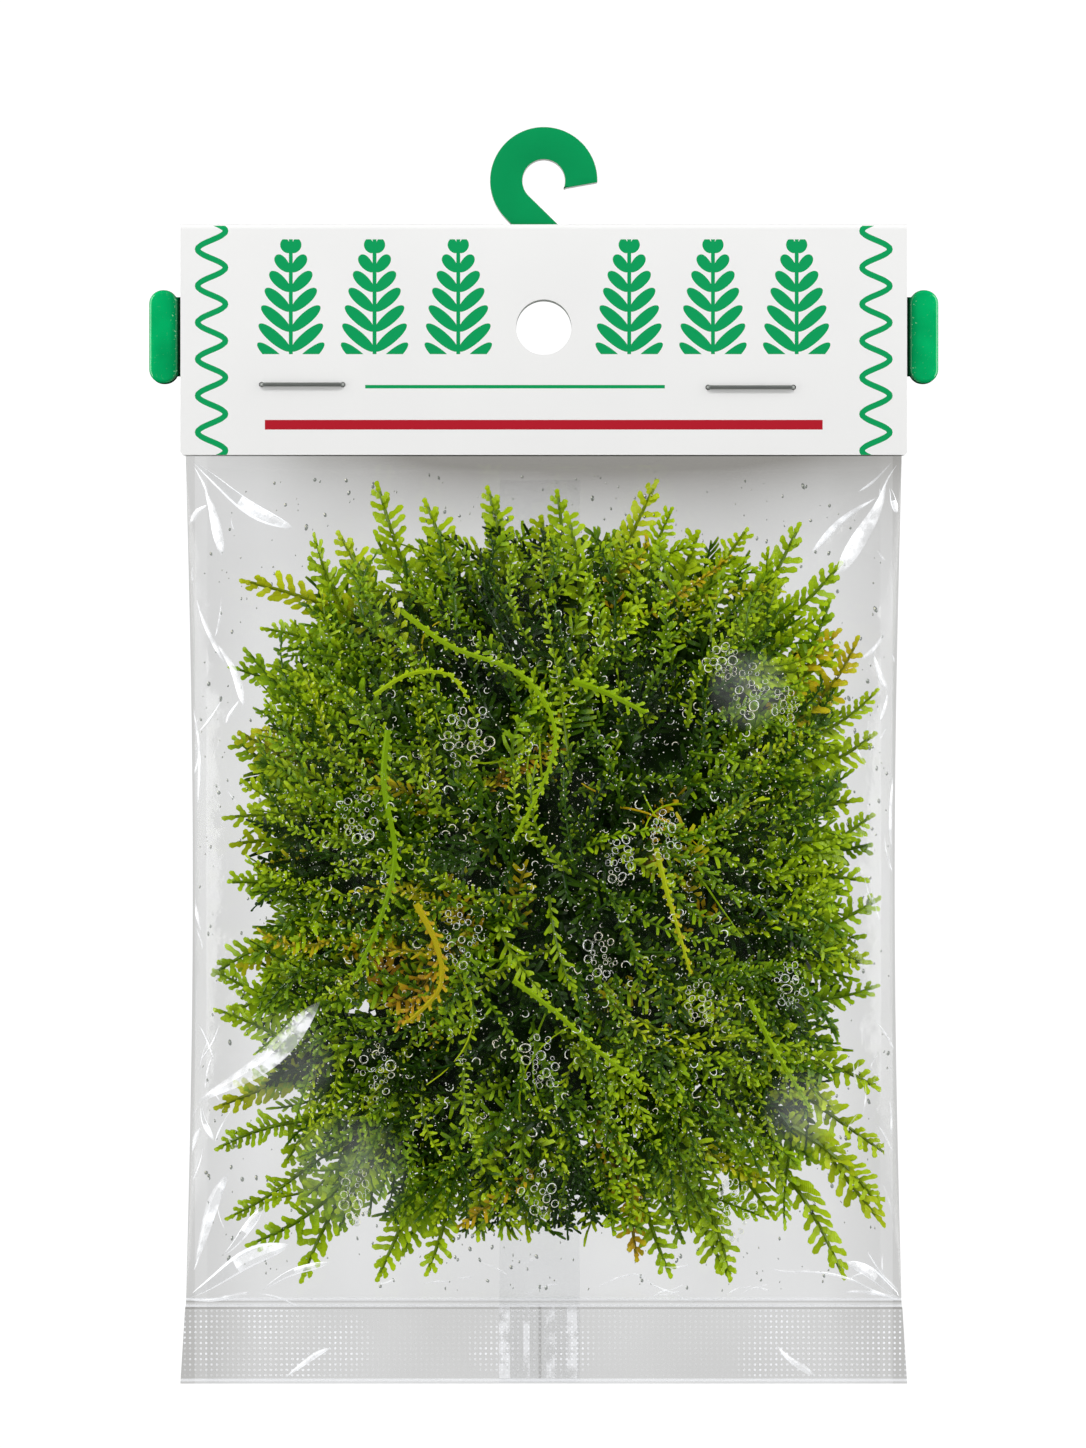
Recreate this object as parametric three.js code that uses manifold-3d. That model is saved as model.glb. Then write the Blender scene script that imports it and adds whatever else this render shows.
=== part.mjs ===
// A hanging retail pack of christmas moss: a tangled pad of leafy fronds in a clear film bag, whose
// neck is stapled into a folded card header, with a flat hook board and two side clips held in the fold.
// Millimetres, +Z up. The front of the pack faces -Y. The origin is where a peg bears under the hook's
// arch, halfway through the board's thickness.
import * as THREE from "three";
import { mergeVertices } from "three/addons/utils/BufferGeometryUtils.js";
import Module from "manifold-3d";

const wasm = await Module();
wasm.setup();

// Driving dimensions
const FIT_GAP = 0.3; // running gap between pieces that touch

const HOOK_THICK = 2.0;
const HOOK_INNER_R = 3.06;
const HOOK_OUTER_R = 7.8;
const HOOK_CENTRE = { x: 0, z: -HOOK_INNER_R };
const HOOK_FOOT = { halfWidth: 14, top: -14.5, bottom: -31.5, corner: 2 };

const CARD_WIDTH = 105;
const CARD_THICK = 0.5;
const CARD_TOP = -9.35;
const CARD_BOTTOM = -42.75;

const HANG_HOLE = { x: 0, z: -24.3, r: 4.0, sides: 24 };

const FILM_WALL = 0.35;
const FILM_SLOT = 0.2; // free space between the two walls of the pressed neck
const NECK_HALF = FILM_WALL + FILM_SLOT / 2;
const BAG_TOP = CARD_TOP - 1.65;
const BELLY_TOP = CARD_BOTTOM - 0.45;
const SEAL_TOP = -166.1;
const BAG_BOTTOM = -177.3;
const NECK_HALF_WIDTH = 51.9;
const WAIST_PULL = 1.0; // how far each side draws in where the bag is fullest
const SEAL_HALF_WIDTH = { top: 52.0, bottom: 52.7 };
const BELLY_HALF_DEPTH = 10.5;
const FIN = { x: -0.6, halfWidth: 5.85, proud: 0.45 };

const MOSS_CENTRE = { x: 0.6, z: -104.5 };
const CORE = { a: 33, b: 41, power: 2.8 };
const SPREAD = { a: 48, b: 57, power: 3.5 };
const BLADE_THICK = 0.62;
const MOSS_TOLERANCE = 0.06; // slivers finer than this are tidied away where blades cross

// Where each layer lies through the pack's depth, front to back
const HOOK_Y = [-HOOK_THICK / 2, HOOK_THICK / 2];
const CARD_FRONT_Y = [HOOK_Y[0] - FIT_GAP - CARD_THICK, HOOK_Y[0] - FIT_GAP];
const BAG_Y = HOOK_Y[1] + FIT_GAP + NECK_HALF;
const CARD_BACK_Y = [BAG_Y + NECK_HALF + FIT_GAP, BAG_Y + NECK_HALF + FIT_GAP + CARD_THICK];

const material = (color, roughness, extra = {}) =>
  new THREE.MeshStandardMaterial({ color, roughness, metalness: 0, ...extra });
const MATERIALS = {
  hook: material(0x009a55, 0.45),
  card: material(0xeeeeec, 0.55),
  clip: material(0x0aa55a, 0.2),
  staple: material(0x8c9090, 0.35, { metalness: 1 }),
  film: material(0xdfe3e4, 0.1, { transparent: true, opacity: 0.3 }),
  moss: material(0x3f7a14, 0.6),
  stem: material(0x9aa51c, 0.55),
};

// A repeatable random draw from 0 to 1
function seeded(seed) {
  let state = seed | 0;
  return () => {
    state = (state + 0x6d2b79f5) | 0;
    let t = Math.imul(state ^ (state >>> 15), 1 | state);
    t = (t + Math.imul(t ^ (t >>> 7), 61 | t)) ^ t;
    return ((t ^ (t >>> 14)) >>> 0) / 4294967296;
  };
}

// Closed meshes to solids and back
function solidOfArrays(points, faces) {
  return new wasm.Manifold(
    new wasm.Mesh({
      numProp: 3,
      vertProperties: new Float32Array(points.flat()),
      triVerts: new Uint32Array(faces.flat()),
    }),
  );
}

function solidOf(geometry) {
  geometry.deleteAttribute("normal");
  geometry.deleteAttribute("uv");
  const merged = mergeVertices(geometry, 1e-4);
  return new wasm.Manifold(
    new wasm.Mesh({
      numProp: 3,
      vertProperties: merged.attributes.position.array,
      triVerts: new Uint32Array(merged.index.array),
    }),
  );
}

function meshOf(name, solid, look) {
  const made = solid.getMesh();
  const geometry = new THREE.BufferGeometry();
  geometry.setAttribute("position", new THREE.BufferAttribute(made.vertProperties, 3));
  geometry.setIndex(new THREE.BufferAttribute(made.triVerts, 1));
  geometry.computeVertexNormals();
  const mesh = new THREE.Mesh(geometry, look);
  mesh.name = name;
  return mesh;
}

// An outline drawn in X and Z, given thickness from y0 to y1
function plate(shape, y0, y1, curveSegments = 8) {
  const geometry = new THREE.ExtrudeGeometry(shape, {
    depth: y1 - y0,
    bevelEnabled: false,
    curveSegments,
  });
  geometry.rotateX(Math.PI / 2);
  geometry.translate(0, y1, 0);
  return solidOf(geometry);
}

function block(x0, x1, y0, y1, z0, z1) {
  const geometry = new THREE.BoxGeometry(x1 - x0, y1 - y0, z1 - z0);
  geometry.translate((x0 + x1) / 2, (y0 + y1) / 2, (z0 + z1) / 2);
  return solidOf(geometry);
}

// A drill along Y
function drill(x, z, radius, sides) {
  const geometry = new THREE.CylinderGeometry(radius, radius, 40, sides);
  geometry.translate(x, 0, z);
  return solidOf(geometry);
}

function roundedRectangle(x0, x1, z0, z1, r) {
  const shape = new THREE.Shape();
  shape.moveTo(x0 + r, z0);
  shape.lineTo(x1 - r, z0);
  shape.absarc(x1 - r, z0 + r, r, -Math.PI / 2, 0);
  shape.lineTo(x1, z1 - r);
  shape.absarc(x1 - r, z1 - r, r, 0, Math.PI / 2);
  shape.lineTo(x0 + r, z1);
  shape.absarc(x0 + r, z1 - r, r, Math.PI / 2, Math.PI);
  shape.lineTo(x0, z0 + r);
  shape.absarc(x0 + r, z0 + r, r, Math.PI, Math.PI * 1.5);
  return shape;
}

// The hook: an open arch, a stem slanting down through the card's fold, and a broad foot held inside.
const STEM_SLOPE = THREE.MathUtils.degToRad(-44.5);
const STEM_RUN = 17; // along the slant, from the arch to inside the foot

function hookBoard() {
  const { x: cx, z: cz } = HOOK_CENTRE;
  const away = STEM_SLOPE - Math.PI / 2; // the side of the arch where the stem leaves it
  const leaves = away + Math.PI * 2;
  const tipIn = THREE.MathUtils.degToRad(-22);
  const tipOut = THREE.MathUtils.degToRad(-2);
  const run = { x: Math.cos(STEM_SLOPE) * STEM_RUN, z: Math.sin(STEM_SLOPE) * STEM_RUN };
  const inner = { x: cx + Math.cos(away) * HOOK_INNER_R, z: cz + Math.sin(away) * HOOK_INNER_R };
  const outer = { x: cx + Math.cos(away) * HOOK_OUTER_R, z: cz + Math.sin(away) * HOOK_OUTER_R };
  const shape = new THREE.Shape();
  shape.moveTo(cx + Math.cos(tipOut) * HOOK_OUTER_R, cz + Math.sin(tipOut) * HOOK_OUTER_R);
  shape.absarc(cx, cz, HOOK_OUTER_R, tipOut, leaves, false);
  shape.lineTo(outer.x + run.x, outer.z + run.z);
  shape.lineTo(inner.x + run.x, inner.z + run.z);
  shape.lineTo(inner.x, inner.z);
  shape.absarc(cx, cz, HOOK_INNER_R, leaves, tipIn, true);
  const { halfWidth, top, bottom, corner } = HOOK_FOOT;
  const foot = roundedRectangle(-halfWidth, halfWidth, bottom, top, corner);
  return plate(shape, ...HOOK_Y, 12)
    .add(plate(foot, ...HOOK_Y, 3))
    .subtract(drill(HANG_HOLE.x, HANG_HOLE.z, HANG_HOLE.r, HANG_HOLE.sides));
}

// Staples: a wire crown on the card's face, two legs through the pack, and tips clinched behind it.
const STAPLES = [
  { name: "staple_left", x: -34.9, z: -32.6, crown: 12.3 },
  { name: "staple_right", x: 29.9, z: -33.0, crown: 12.9 },
];
const WIRE = 0.6;
const LEG_HOLE_R = WIRE / 2 + 0.35;
const LEG_HOLE_SIDES = 6;
const CLINCH = 4.6;

function staple({ x, z, crown }) {
  const half = crown / 2;
  const front = CARD_FRONT_Y[0] - 0.1;
  const back = CARD_BACK_Y[1] + 0.1;
  const z0 = z - WIRE / 2;
  const z1 = z + WIRE / 2;
  let wire = block(x - half, x + half, front - WIRE, front, z0, z1);
  for (const side of [-1, 1]) {
    const outer = x + side * half;
    const inner = outer - side * WIRE;
    const tip = outer - side * CLINCH;
    const [a, b] = [Math.min(outer, inner), Math.max(outer, inner)];
    const [c, d] = [Math.min(outer, tip), Math.max(outer, tip)];
    wire = wire.add(block(a, b, front - WIRE / 2, back + WIRE / 2, z0, z1));
    wire = wire.add(block(c, d, back, back + WIRE, z0, z1));
  }
  return wire;
}

function legHoles() {
  return STAPLES.flatMap(({ x, z, crown }) =>
    [-1, 1].map((side) => drill(x + (side * (crown - WIRE)) / 2, z, LEG_HOLE_R, LEG_HOLE_SIDES)),
  );
}

// The header: one card folded over the bag's neck, slotted at the fold for the hook's stem.
const FOLD_RADIUS = 0.8;
const SLOT = { x0: -5.9, x1: 3.6 };

function foldedCard() {
  const [y0, y1] = [CARD_FRONT_Y[0], CARD_BACK_Y[1]];
  const t = CARD_THICK;
  const r = FOLD_RADIUS;
  const profile = new THREE.Shape();
  profile.moveTo(y0, CARD_BOTTOM);
  profile.lineTo(y0 + t, CARD_BOTTOM);
  profile.lineTo(y0 + t, CARD_TOP - t);
  profile.lineTo(y1 - t, CARD_TOP - t);
  profile.lineTo(y1 - t, CARD_BOTTOM);
  profile.lineTo(y1, CARD_BOTTOM);
  profile.lineTo(y1, CARD_TOP - r);
  profile.absarc(y1 - r, CARD_TOP - r, r, 0, Math.PI / 2);
  profile.lineTo(y0 + r, CARD_TOP);
  profile.absarc(y0 + r, CARD_TOP - r, r, Math.PI / 2, Math.PI);
  const geometry = new THREE.ExtrudeGeometry(profile, {
    depth: CARD_WIDTH,
    bevelEnabled: false,
    curveSegments: 3,
  });
  // the profile is drawn in Y and Z: turn it so that it runs along X
  geometry.rotateX(Math.PI / 2);
  geometry.rotateZ(Math.PI / 2);
  geometry.translate(-CARD_WIDTH / 2, 0, 0);
  let card = solidOf(geometry);
  const slotY = [HOOK_Y[0] - FIT_GAP, HOOK_Y[1] + FIT_GAP];
  card = card.subtract(block(SLOT.x0, SLOT.x1, ...slotY, CARD_TOP - 2, CARD_TOP + 2));
  card = card.subtract(drill(HANG_HOLE.x, HANG_HOLE.z, HANG_HOLE.r, HANG_HOLE.sides));
  for (const hole of legHoles()) card = card.subtract(hole);
  return card;
}

// Side clips: a pill-shaped head outside the card and a flat tongue between its front and the bag.
const CLIP = {
  inner: 52.9,
  outer: 57.05,
  top: -18.9,
  bottom: -32.35,
  bevel: 0.6,
  neckTop: -19.9,
  neckBottom: -31.3,
  tongueEnd: 44,
};

function sideClip(side) {
  const headY = [CARD_FRONT_Y[0] + 0.2, CARD_BACK_Y[1] - 0.2];
  const r = (CLIP.outer - CLIP.inner) / 2 - CLIP.bevel;
  const x0 = CLIP.inner + CLIP.bevel;
  const x1 = CLIP.outer - CLIP.bevel;
  const shape = roundedRectangle(x0, x1, CLIP.bottom + CLIP.bevel, CLIP.top - CLIP.bevel, r - 0.01);
  const geometry = new THREE.ExtrudeGeometry(shape, {
    depth: headY[1] - headY[0] - 2 * CLIP.bevel,
    bevelThickness: CLIP.bevel,
    bevelSize: CLIP.bevel,
    bevelSegments: 1,
    curveSegments: 3,
  });
  geometry.rotateX(Math.PI / 2);
  geometry.translate(0, headY[1] - CLIP.bevel, 0);
  const tongue = block(CLIP.tongueEnd, CLIP.inner + 1, ...HOOK_Y, CLIP.neckBottom, CLIP.neckTop);
  const made = solidOf(geometry).add(tongue);
  return side > 0 ? made : made.mirror([1, 0, 0]);
}

// The bag. bellyDepth is how far the film stands from the bag's middle plane at a place on it.
function halfWidthAt(z) {
  if (z >= BELLY_TOP) return NECK_HALF_WIDTH;
  if (z <= SEAL_TOP) {
    const down = (SEAL_TOP - z) / (SEAL_TOP - BAG_BOTTOM);
    return THREE.MathUtils.lerp(SEAL_HALF_WIDTH.top, SEAL_HALF_WIDTH.bottom, down);
  }
  const down = (BELLY_TOP - z) / (BELLY_TOP - SEAL_TOP);
  return NECK_HALF_WIDTH - WAIST_PULL * Math.sin(Math.PI * down);
}

function bellyDepth(x, z) {
  if (z >= BELLY_TOP || z <= SEAL_TOP) return 0;
  const down = (BELLY_TOP - z) / (BELLY_TOP - SEAL_TOP);
  const across = Math.min(Math.abs(x) / halfWidthAt(z), 1);
  const along = Math.pow(Math.sin(Math.PI * down), 0.6);
  return BELLY_HALF_DEPTH * along * Math.pow(1 - Math.pow(across, 2.4), 0.6);
}

const filmOutside = (x, z) => Math.max(bellyDepth(x, z), NECK_HALF);
const filmInside = (x, z) => Math.max(bellyDepth(x, z) - FILM_WALL, FILM_SLOT / 2);

const BAG_COLUMNS = 12;
const BELLY_ROWS = 14;

function levels() {
  const rows = [];
  for (let i = 0; i <= BELLY_ROWS; i++) {
    const t = i / BELLY_ROWS;
    const eased = t - 0.13 * Math.sin(2 * Math.PI * t); // closer rows at both ends
    rows.push(THREE.MathUtils.lerp(BELLY_TOP, SEAL_TOP, eased));
  }
  return rows;
}

// One closed ring of points at height z: along the front from left to right, then back
function ring(z, narrower, depthAt) {
  const w = halfWidthAt(z) - narrower;
  const front = [];
  const back = [];
  for (let k = 0; k <= BAG_COLUMNS; k++) {
    const x = w * Math.sin((Math.PI / 2) * ((2 * k) / BAG_COLUMNS - 1));
    const depth = depthAt(x, z);
    front.push([x, BAG_Y - depth, z]);
    back.unshift([x, BAG_Y + depth, z]);
  }
  return [...front, ...back];
}

function bandFaces(from, to, size, flip) {
  const faces = [];
  for (let k = 0; k < size; k++) {
    const next = (k + 1) % size;
    const [a, b, c, d] = [from + k, from + next, to + next, to + k];
    faces.push(...(flip ? [[a, b, c], [a, c, d]] : [[a, c, b], [a, d, c]]));
  }
  return faces;
}

// Closes a ring with a strip between its front and back halves
function stripFaces(start, flip) {
  const last = 2 * BAG_COLUMNS + 1;
  const faces = [];
  for (let k = 0; k < BAG_COLUMNS; k++) {
    const [a, b, c, d] = [start + k, start + k + 1, start + last - k - 1, start + last - k];
    faces.push(...(flip ? [[a, c, b], [a, d, c]] : [[a, b, c], [a, c, d]]));
  }
  return faces;
}

function filmBag() {
  const belly = levels();
  const outer = [BAG_TOP, ...belly, BAG_BOTTOM].map((z) => ring(z, 0, filmOutside));
  const inner = [BAG_TOP, ...belly].map((z) => ring(z, FILM_WALL, filmInside));
  const points = [...outer.flat(), ...inner.flat()];
  const size = 2 * (BAG_COLUMNS + 1);
  const innerStart = outer.length * size;
  const faces = [];
  for (let i = 0; i + 1 < outer.length; i++) {
    faces.push(...bandFaces(i * size, (i + 1) * size, size, false));
  }
  for (let i = 0; i + 1 < inner.length; i++) {
    faces.push(...bandFaces(innerStart + i * size, innerStart + (i + 1) * size, size, true));
  }
  faces.push(...bandFaces(innerStart, 0, size, false)); // the mouth's rim
  faces.push(...stripFaces((outer.length - 1) * size, true)); // the bottom edge
  faces.push(...stripFaces(innerStart + (inner.length - 1) * size, false)); // above the seal
  let bag = solidOfArrays(points, faces);
  bag = bag.add(finSeal(belly));
  bag = bag.subtract(drill(HANG_HOLE.x, HANG_HOLE.z, HANG_HOLE.r, HANG_HOLE.sides));
  for (const hole of legHoles()) bag = bag.subtract(hole);
  return bag;
}

// The lap down the middle of the back where the film's two edges are welded together
function finSeal(belly) {
  const rows = [...belly.slice(1), BAG_BOTTOM + 0.05];
  const columns = [-1, 0, 1].map((k) => FIN.x + k * FIN.halfWidth);
  const points = [];
  for (const z of rows) {
    for (const x of columns) points.push([x, BAG_Y + filmOutside(x, z) + FIN.proud, z]);
    for (const x of [...columns].reverse()) points.push([x, BAG_Y + filmOutside(x, z) - 0.15, z]);
  }
  const size = 6;
  const faces = [];
  for (let i = 0; i + 1 < rows.length; i++) {
    faces.push(...bandFaces(i * size, (i + 1) * size, size, true));
  }
  const cap = (s, flip) =>
    [[0, 1, 4], [0, 4, 5], [1, 2, 3], [1, 3, 4]].map(([a, b, c]) =>
      flip ? [s + a, s + c, s + b] : [s + a, s + b, s + c],
    );
  faces.push(...cap(0, true), ...cap((rows.length - 1) * size, false));
  return solidOfArrays(points, faces);
}

// Moss. Its depth is a share, from -1 at the front to 1 at the back, of the room that the film leaves.
const mossRoom = (x, z) => Math.max(filmInside(x, z) - 1.9, 0.25);
const mossY = (x, z, share) => BAG_Y + share * mossRoom(x, z);

function outlineRadius({ a, b, power }, angle) {
  const c = Math.pow(Math.abs(Math.cos(angle)) / a, power);
  const s = Math.pow(Math.abs(Math.sin(angle)) / b, power);
  return Math.pow(c + s, -1 / power);
}

function placeOn(outline, angle, share) {
  const r = outlineRadius(outline, angle) * share;
  return [MOSS_CENTRE.x + r * Math.cos(angle), MOSS_CENTRE.z + r * Math.sin(angle)];
}

const lump = (x, z) =>
  0.5 * Math.sin(0.31 * x + 1.7) * Math.cos(0.27 * z + 0.4) + 0.5 * Math.sin(0.53 * x - 0.41 * z);

// The packed middle of the tangle, which every frond stands out of
const CORE_RINGS = [0.3, 0.56, 0.78, 0.93, 1];
const CORE_SPOKES = 20;
const CORE_DOME = 0.5;

function mossCore() {
  const points = [];
  const faces = [];
  for (const side of [-1, 1]) {
    const start = points.length;
    const [mx, mz] = [MOSS_CENTRE.x, MOSS_CENTRE.z];
    points.push([mx, mossY(mx, mz, side * CORE_DOME), mz]);
    CORE_RINGS.forEach((share, i) => {
      if (share === 1 && side > 0) return; // both sides share the rim
      for (let k = 0; k < CORE_SPOKES; k++) {
        const angle = (2 * Math.PI * k) / CORE_SPOKES;
        const ragged = 1 + 0.05 * Math.sin(3 * angle + 0.6) + 0.04 * Math.sin(7 * angle + 2);
        const [x, z] = placeOn(CORE, angle, share * ragged);
        const dome = CORE_DOME * Math.sqrt(1 - Math.pow(share, 4)) + 0.2 * lump(x, z) * (1 - share);
        points.push([x, mossY(x, z, side * dome), z]);
      }
    });
    const rim = 1 + (CORE_RINGS.length - 1) * CORE_SPOKES;
    const ringStart = (i) => (i === CORE_RINGS.length - 1 ? rim : start + 1 + i * CORE_SPOKES);
    const at = (i, k) => ringStart(i) + (k % CORE_SPOKES);
    const add = (a, b, c) => faces.push(side < 0 ? [a, b, c] : [a, c, b]);
    for (let k = 0; k < CORE_SPOKES; k++) {
      add(start, at(0, k), at(0, k + 1));
      for (let i = 0; i + 1 < CORE_RINGS.length; i++) {
        add(at(i, k), at(i + 1, k), at(i + 1, k + 1));
        add(at(i, k), at(i + 1, k + 1), at(i, k + 1));
      }
    }
  }
  return solidOfArrays(points, faces);
}

// A frond: one thin arched blade, its outline cut to the rib in pairs of pointed leaflets, which
// begin past its bare root. yAt(x, z, t) gives the blade's middle, t running from 0 at the root to
// 1 at the tip.
function frond(path, { pairs, halfWidth, rib, sweep, yAt, bare = 0, roll = 0 }) {
  const at = (t) => path.getPoint(Math.min(t, 1));
  const sideways = (t) => {
    const d = path.getTangent(Math.min(t, 1));
    return [-d.y, d.x];
  };
  const spread = (t) => Math.min(1, 0.45 + 2.2 * t) * (1 - 0.72 * Math.pow(t, 2.2));
  const corners = [];
  const add = (x, z, t, lift) => {
    corners.push([x, yAt(x, z, t) + lift, z]);
    return corners.length - 1;
  };
  const offset = (t, side, reach) => {
    const p = at(t);
    const n = sideways(t);
    return add(p.x + n[0] * side * reach, p.y + n[1] * side * reach, t, roll * side * reach);
  };
  const step = (0.93 - bare) / pairs;
  const ribAt = (t, side) => offset(t, side, rib * (1 - 0.5 * t));
  const left = [ribAt(0, 1)];
  const right = [ribAt(0, -1)];
  const first = bare > 0 ? 1 : 0;
  const leftTips = [];
  const rightTips = [];
  for (let i = 0; i <= pairs; i++) {
    const t = bare + i * step;
    if (t > 0) {
      left.push(ribAt(t, 1));
      right.push(ribAt(t, -1));
    }
    if (i === pairs) break;
    const ahead = t + (0.5 + sweep) * step;
    leftTips.push(offset(ahead, 1, halfWidth * spread(t)));
    rightTips.push(offset(ahead, -1, halfWidth * spread(t)));
  }
  const tip = add(at(1).x, at(1).y, 1, 0);
  const last = left.length - 1;
  const top = [];
  for (let i = 0; i < last; i++) {
    top.push([left[i], right[i], right[i + 1]], [left[i], right[i + 1], left[i + 1]]);
    if (i < first) continue;
    top.push([left[i], left[i + 1], leftTips[i - first]]);
    top.push([right[i + 1], right[i], rightTips[i - first]]);
  }
  top.push([left[last], right[last], tip]);
  const rim = [right[0]];
  for (let i = 0; i < last; i++) {
    if (i >= first) rim.push(rightTips[i - first]);
    rim.push(right[i + 1]);
  }
  rim.push(tip, left[last]);
  for (let i = last - 1; i >= 0; i--) {
    if (i >= first) rim.push(leftTips[i - first]);
    rim.push(left[i]);
  }
  return thickened(corners, top, rim);
}

// Gives a sheet the blade's thickness: faces lists its front triangles and rim walks its edge
function thickened(corners, front, rim) {
  const n = corners.length;
  const h = BLADE_THICK / 2;
  const points = [-h, h].flatMap((lift) => corners.map(([x, y, z]) => [x, y + lift, z]));
  const faces = [...front, ...front.map(([a, b, c]) => [n + a, n + c, n + b])];
  rim.forEach((a, i) => {
    const b = rim[(i + 1) % rim.length];
    faces.push([a, n + a, n + b], [a, n + b, b]);
  });
  return solidOfArrays(points, faces);
}

// A bowed line from root to tip, as [x, z] places. bow is its rise as a share of its length.
function bowed(root, tip, bow) {
  const [dx, dz] = [tip[0] - root[0], tip[1] - root[1]];
  const middle = [root[0] + dx / 2 - dz * bow, root[1] + dz / 2 + dx * bow];
  return new THREE.QuadraticBezierCurve(
    new THREE.Vector2(...root),
    new THREE.Vector2(...middle),
    new THREE.Vector2(...tip),
  );
}

const between = (draw, low, high) => low + (high - low) * draw();

// Leader sprays that give the clump its ragged outline: root and tip places from the moss's centre
const LEADERS = [
  { root: [-23, 41], tip: [-43.5, 43.5] },
  { root: [-20, 42], tip: [-24.5, 57] },
  { root: [-7, 43], tip: [-8.5, 56.5] },
  { root: [5, 43], tip: [1.5, 56] },
  { root: [9, 42], tip: [15.5, 57.3] },
  { root: [30, 34], tip: [36.2, 51] },
  { root: [30, 36], tip: [42, 45.5] },
  { root: [36, 15], tip: [47, 21] },
  { root: [36, -28], tip: [48, -49] },
  { root: [33, -40], tip: [42.5, -56.5] },
  { root: [22, -43], tip: [26, -57] },
  { root: [-20, -43], tip: [-24.5, -57] },
  { root: [-27, -40], tip: [-35.5, -57] },
  { root: [-35, -27], tip: [-47.5, -32.5] },
  { root: [-36, -6], tip: [-48, -13] },
  { root: [-36, 12], tip: [-45, 20.5] },
];
const RIM_FRONDS = 27;
const FACE_FRONDS = 50;

function rimFrond(root, tip, draw, share, extra = {}) {
  const length = Math.hypot(tip[0] - root[0], tip[1] - root[1]);
  const slope = between(draw, -0.25, 0.25);
  return frond(bowed(root, tip, between(draw, -0.12, 0.12)), {
    pairs: Math.max(4, Math.round(length / 3.5)),
    halfWidth: between(draw, 3.2, 4.2),
    rib: 0.55,
    sweep: 0.9,
    bare: 0.26,
    roll: between(draw, -0.35, 0.35),
    yAt: (x, z, t) => mossY(x, z, Math.max(-0.85, Math.min(0.85, share + slope * t))),
    ...extra,
  });
}

function rimFronds() {
  const draw = seeded(11);
  const blades = [];
  for (let i = 0; i < RIM_FRONDS; i++) {
    const angle = (2 * Math.PI * (i + between(draw, -0.3, 0.3))) / RIM_FRONDS;
    const root = placeOn(CORE, angle, 0.84);
    const tip = placeOn(SPREAD, angle + between(draw, -0.1, 0.1), between(draw, 0.87, 0.97));
    blades.push(rimFrond(root, tip, draw, [-0.45, 0.45, 0][i % 3]));
  }
  LEADERS.forEach(({ root, tip }, i) => {
    const from = [MOSS_CENTRE.x + root[0] * 0.78, MOSS_CENTRE.z + root[1] * 0.82];
    const to = [MOSS_CENTRE.x + tip[0], MOSS_CENTRE.z + tip[1]];
    const share = [-0.2, 0.2][i % 2];
    blades.push(rimFrond(from, to, draw, share, { halfWidth: 3.4 }));
    if (i % 2) return;
    const [dx, dz] = [to[0] - from[0], to[1] - from[1]];
    const start = [from[0] + dx * 0.42, from[1] + dz * 0.42];
    const lean = i % 4 ? 0.8 : -0.8;
    const end = [
      start[0] + 0.46 * (dx * Math.cos(lean) - dz * Math.sin(lean)),
      start[1] + 0.46 * (dx * Math.sin(lean) + dz * Math.cos(lean)),
    ];
    blades.push(rimFrond(start, end, draw, share, { halfWidth: 2.3, pairs: 4, bare: 0 }));
  });
  return blades;
}

// Fronds lying over the front and back of the core, roots sunk in it and tips raised
function faceFronds() {
  const draw = seeded(31);
  const golden = Math.PI * (3 - Math.sqrt(5));
  const blades = [];
  for (let i = 0; i < FACE_FRONDS; i++) {
    const side = i % 2 ? 1 : -1;
    const share = 0.88 * Math.sqrt((Math.floor(i / 2) + 0.2) / (FACE_FRONDS / 2));
    const angle = golden * i + between(draw, -0.2, 0.2);
    const root = placeOn(CORE, angle, share);
    const heading = angle + between(draw, -1.3, 1.3);
    const length = between(draw, 15, 20);
    const tip = [root[0] + length * Math.cos(heading), root[1] + length * Math.sin(heading)];
    const yAt = (x, z, t) => mossY(x, z, side * (0.36 + 0.56 * Math.pow(t, 0.6)));
    blades.push(
      frond(bowed(root, tip, between(draw, -0.15, 0.15)), {
        pairs: 4,
        halfWidth: between(draw, 4.2, 5.2),
        rib: 0.7,
        sweep: 0.6,
        bare: 0.12,
        yAt,
      }),
    );
  }
  return blades;
}

function mossTangle() {
  const joined = wasm.Manifold.union([mossCore(), ...rimFronds(), ...faceFronds()]);
  const bodies = joined.simplify(MOSS_TOLERANCE).decompose();
  return bodies.reduce((a, b) => (b.volume() > a.volume() ? b : a));
}

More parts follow.
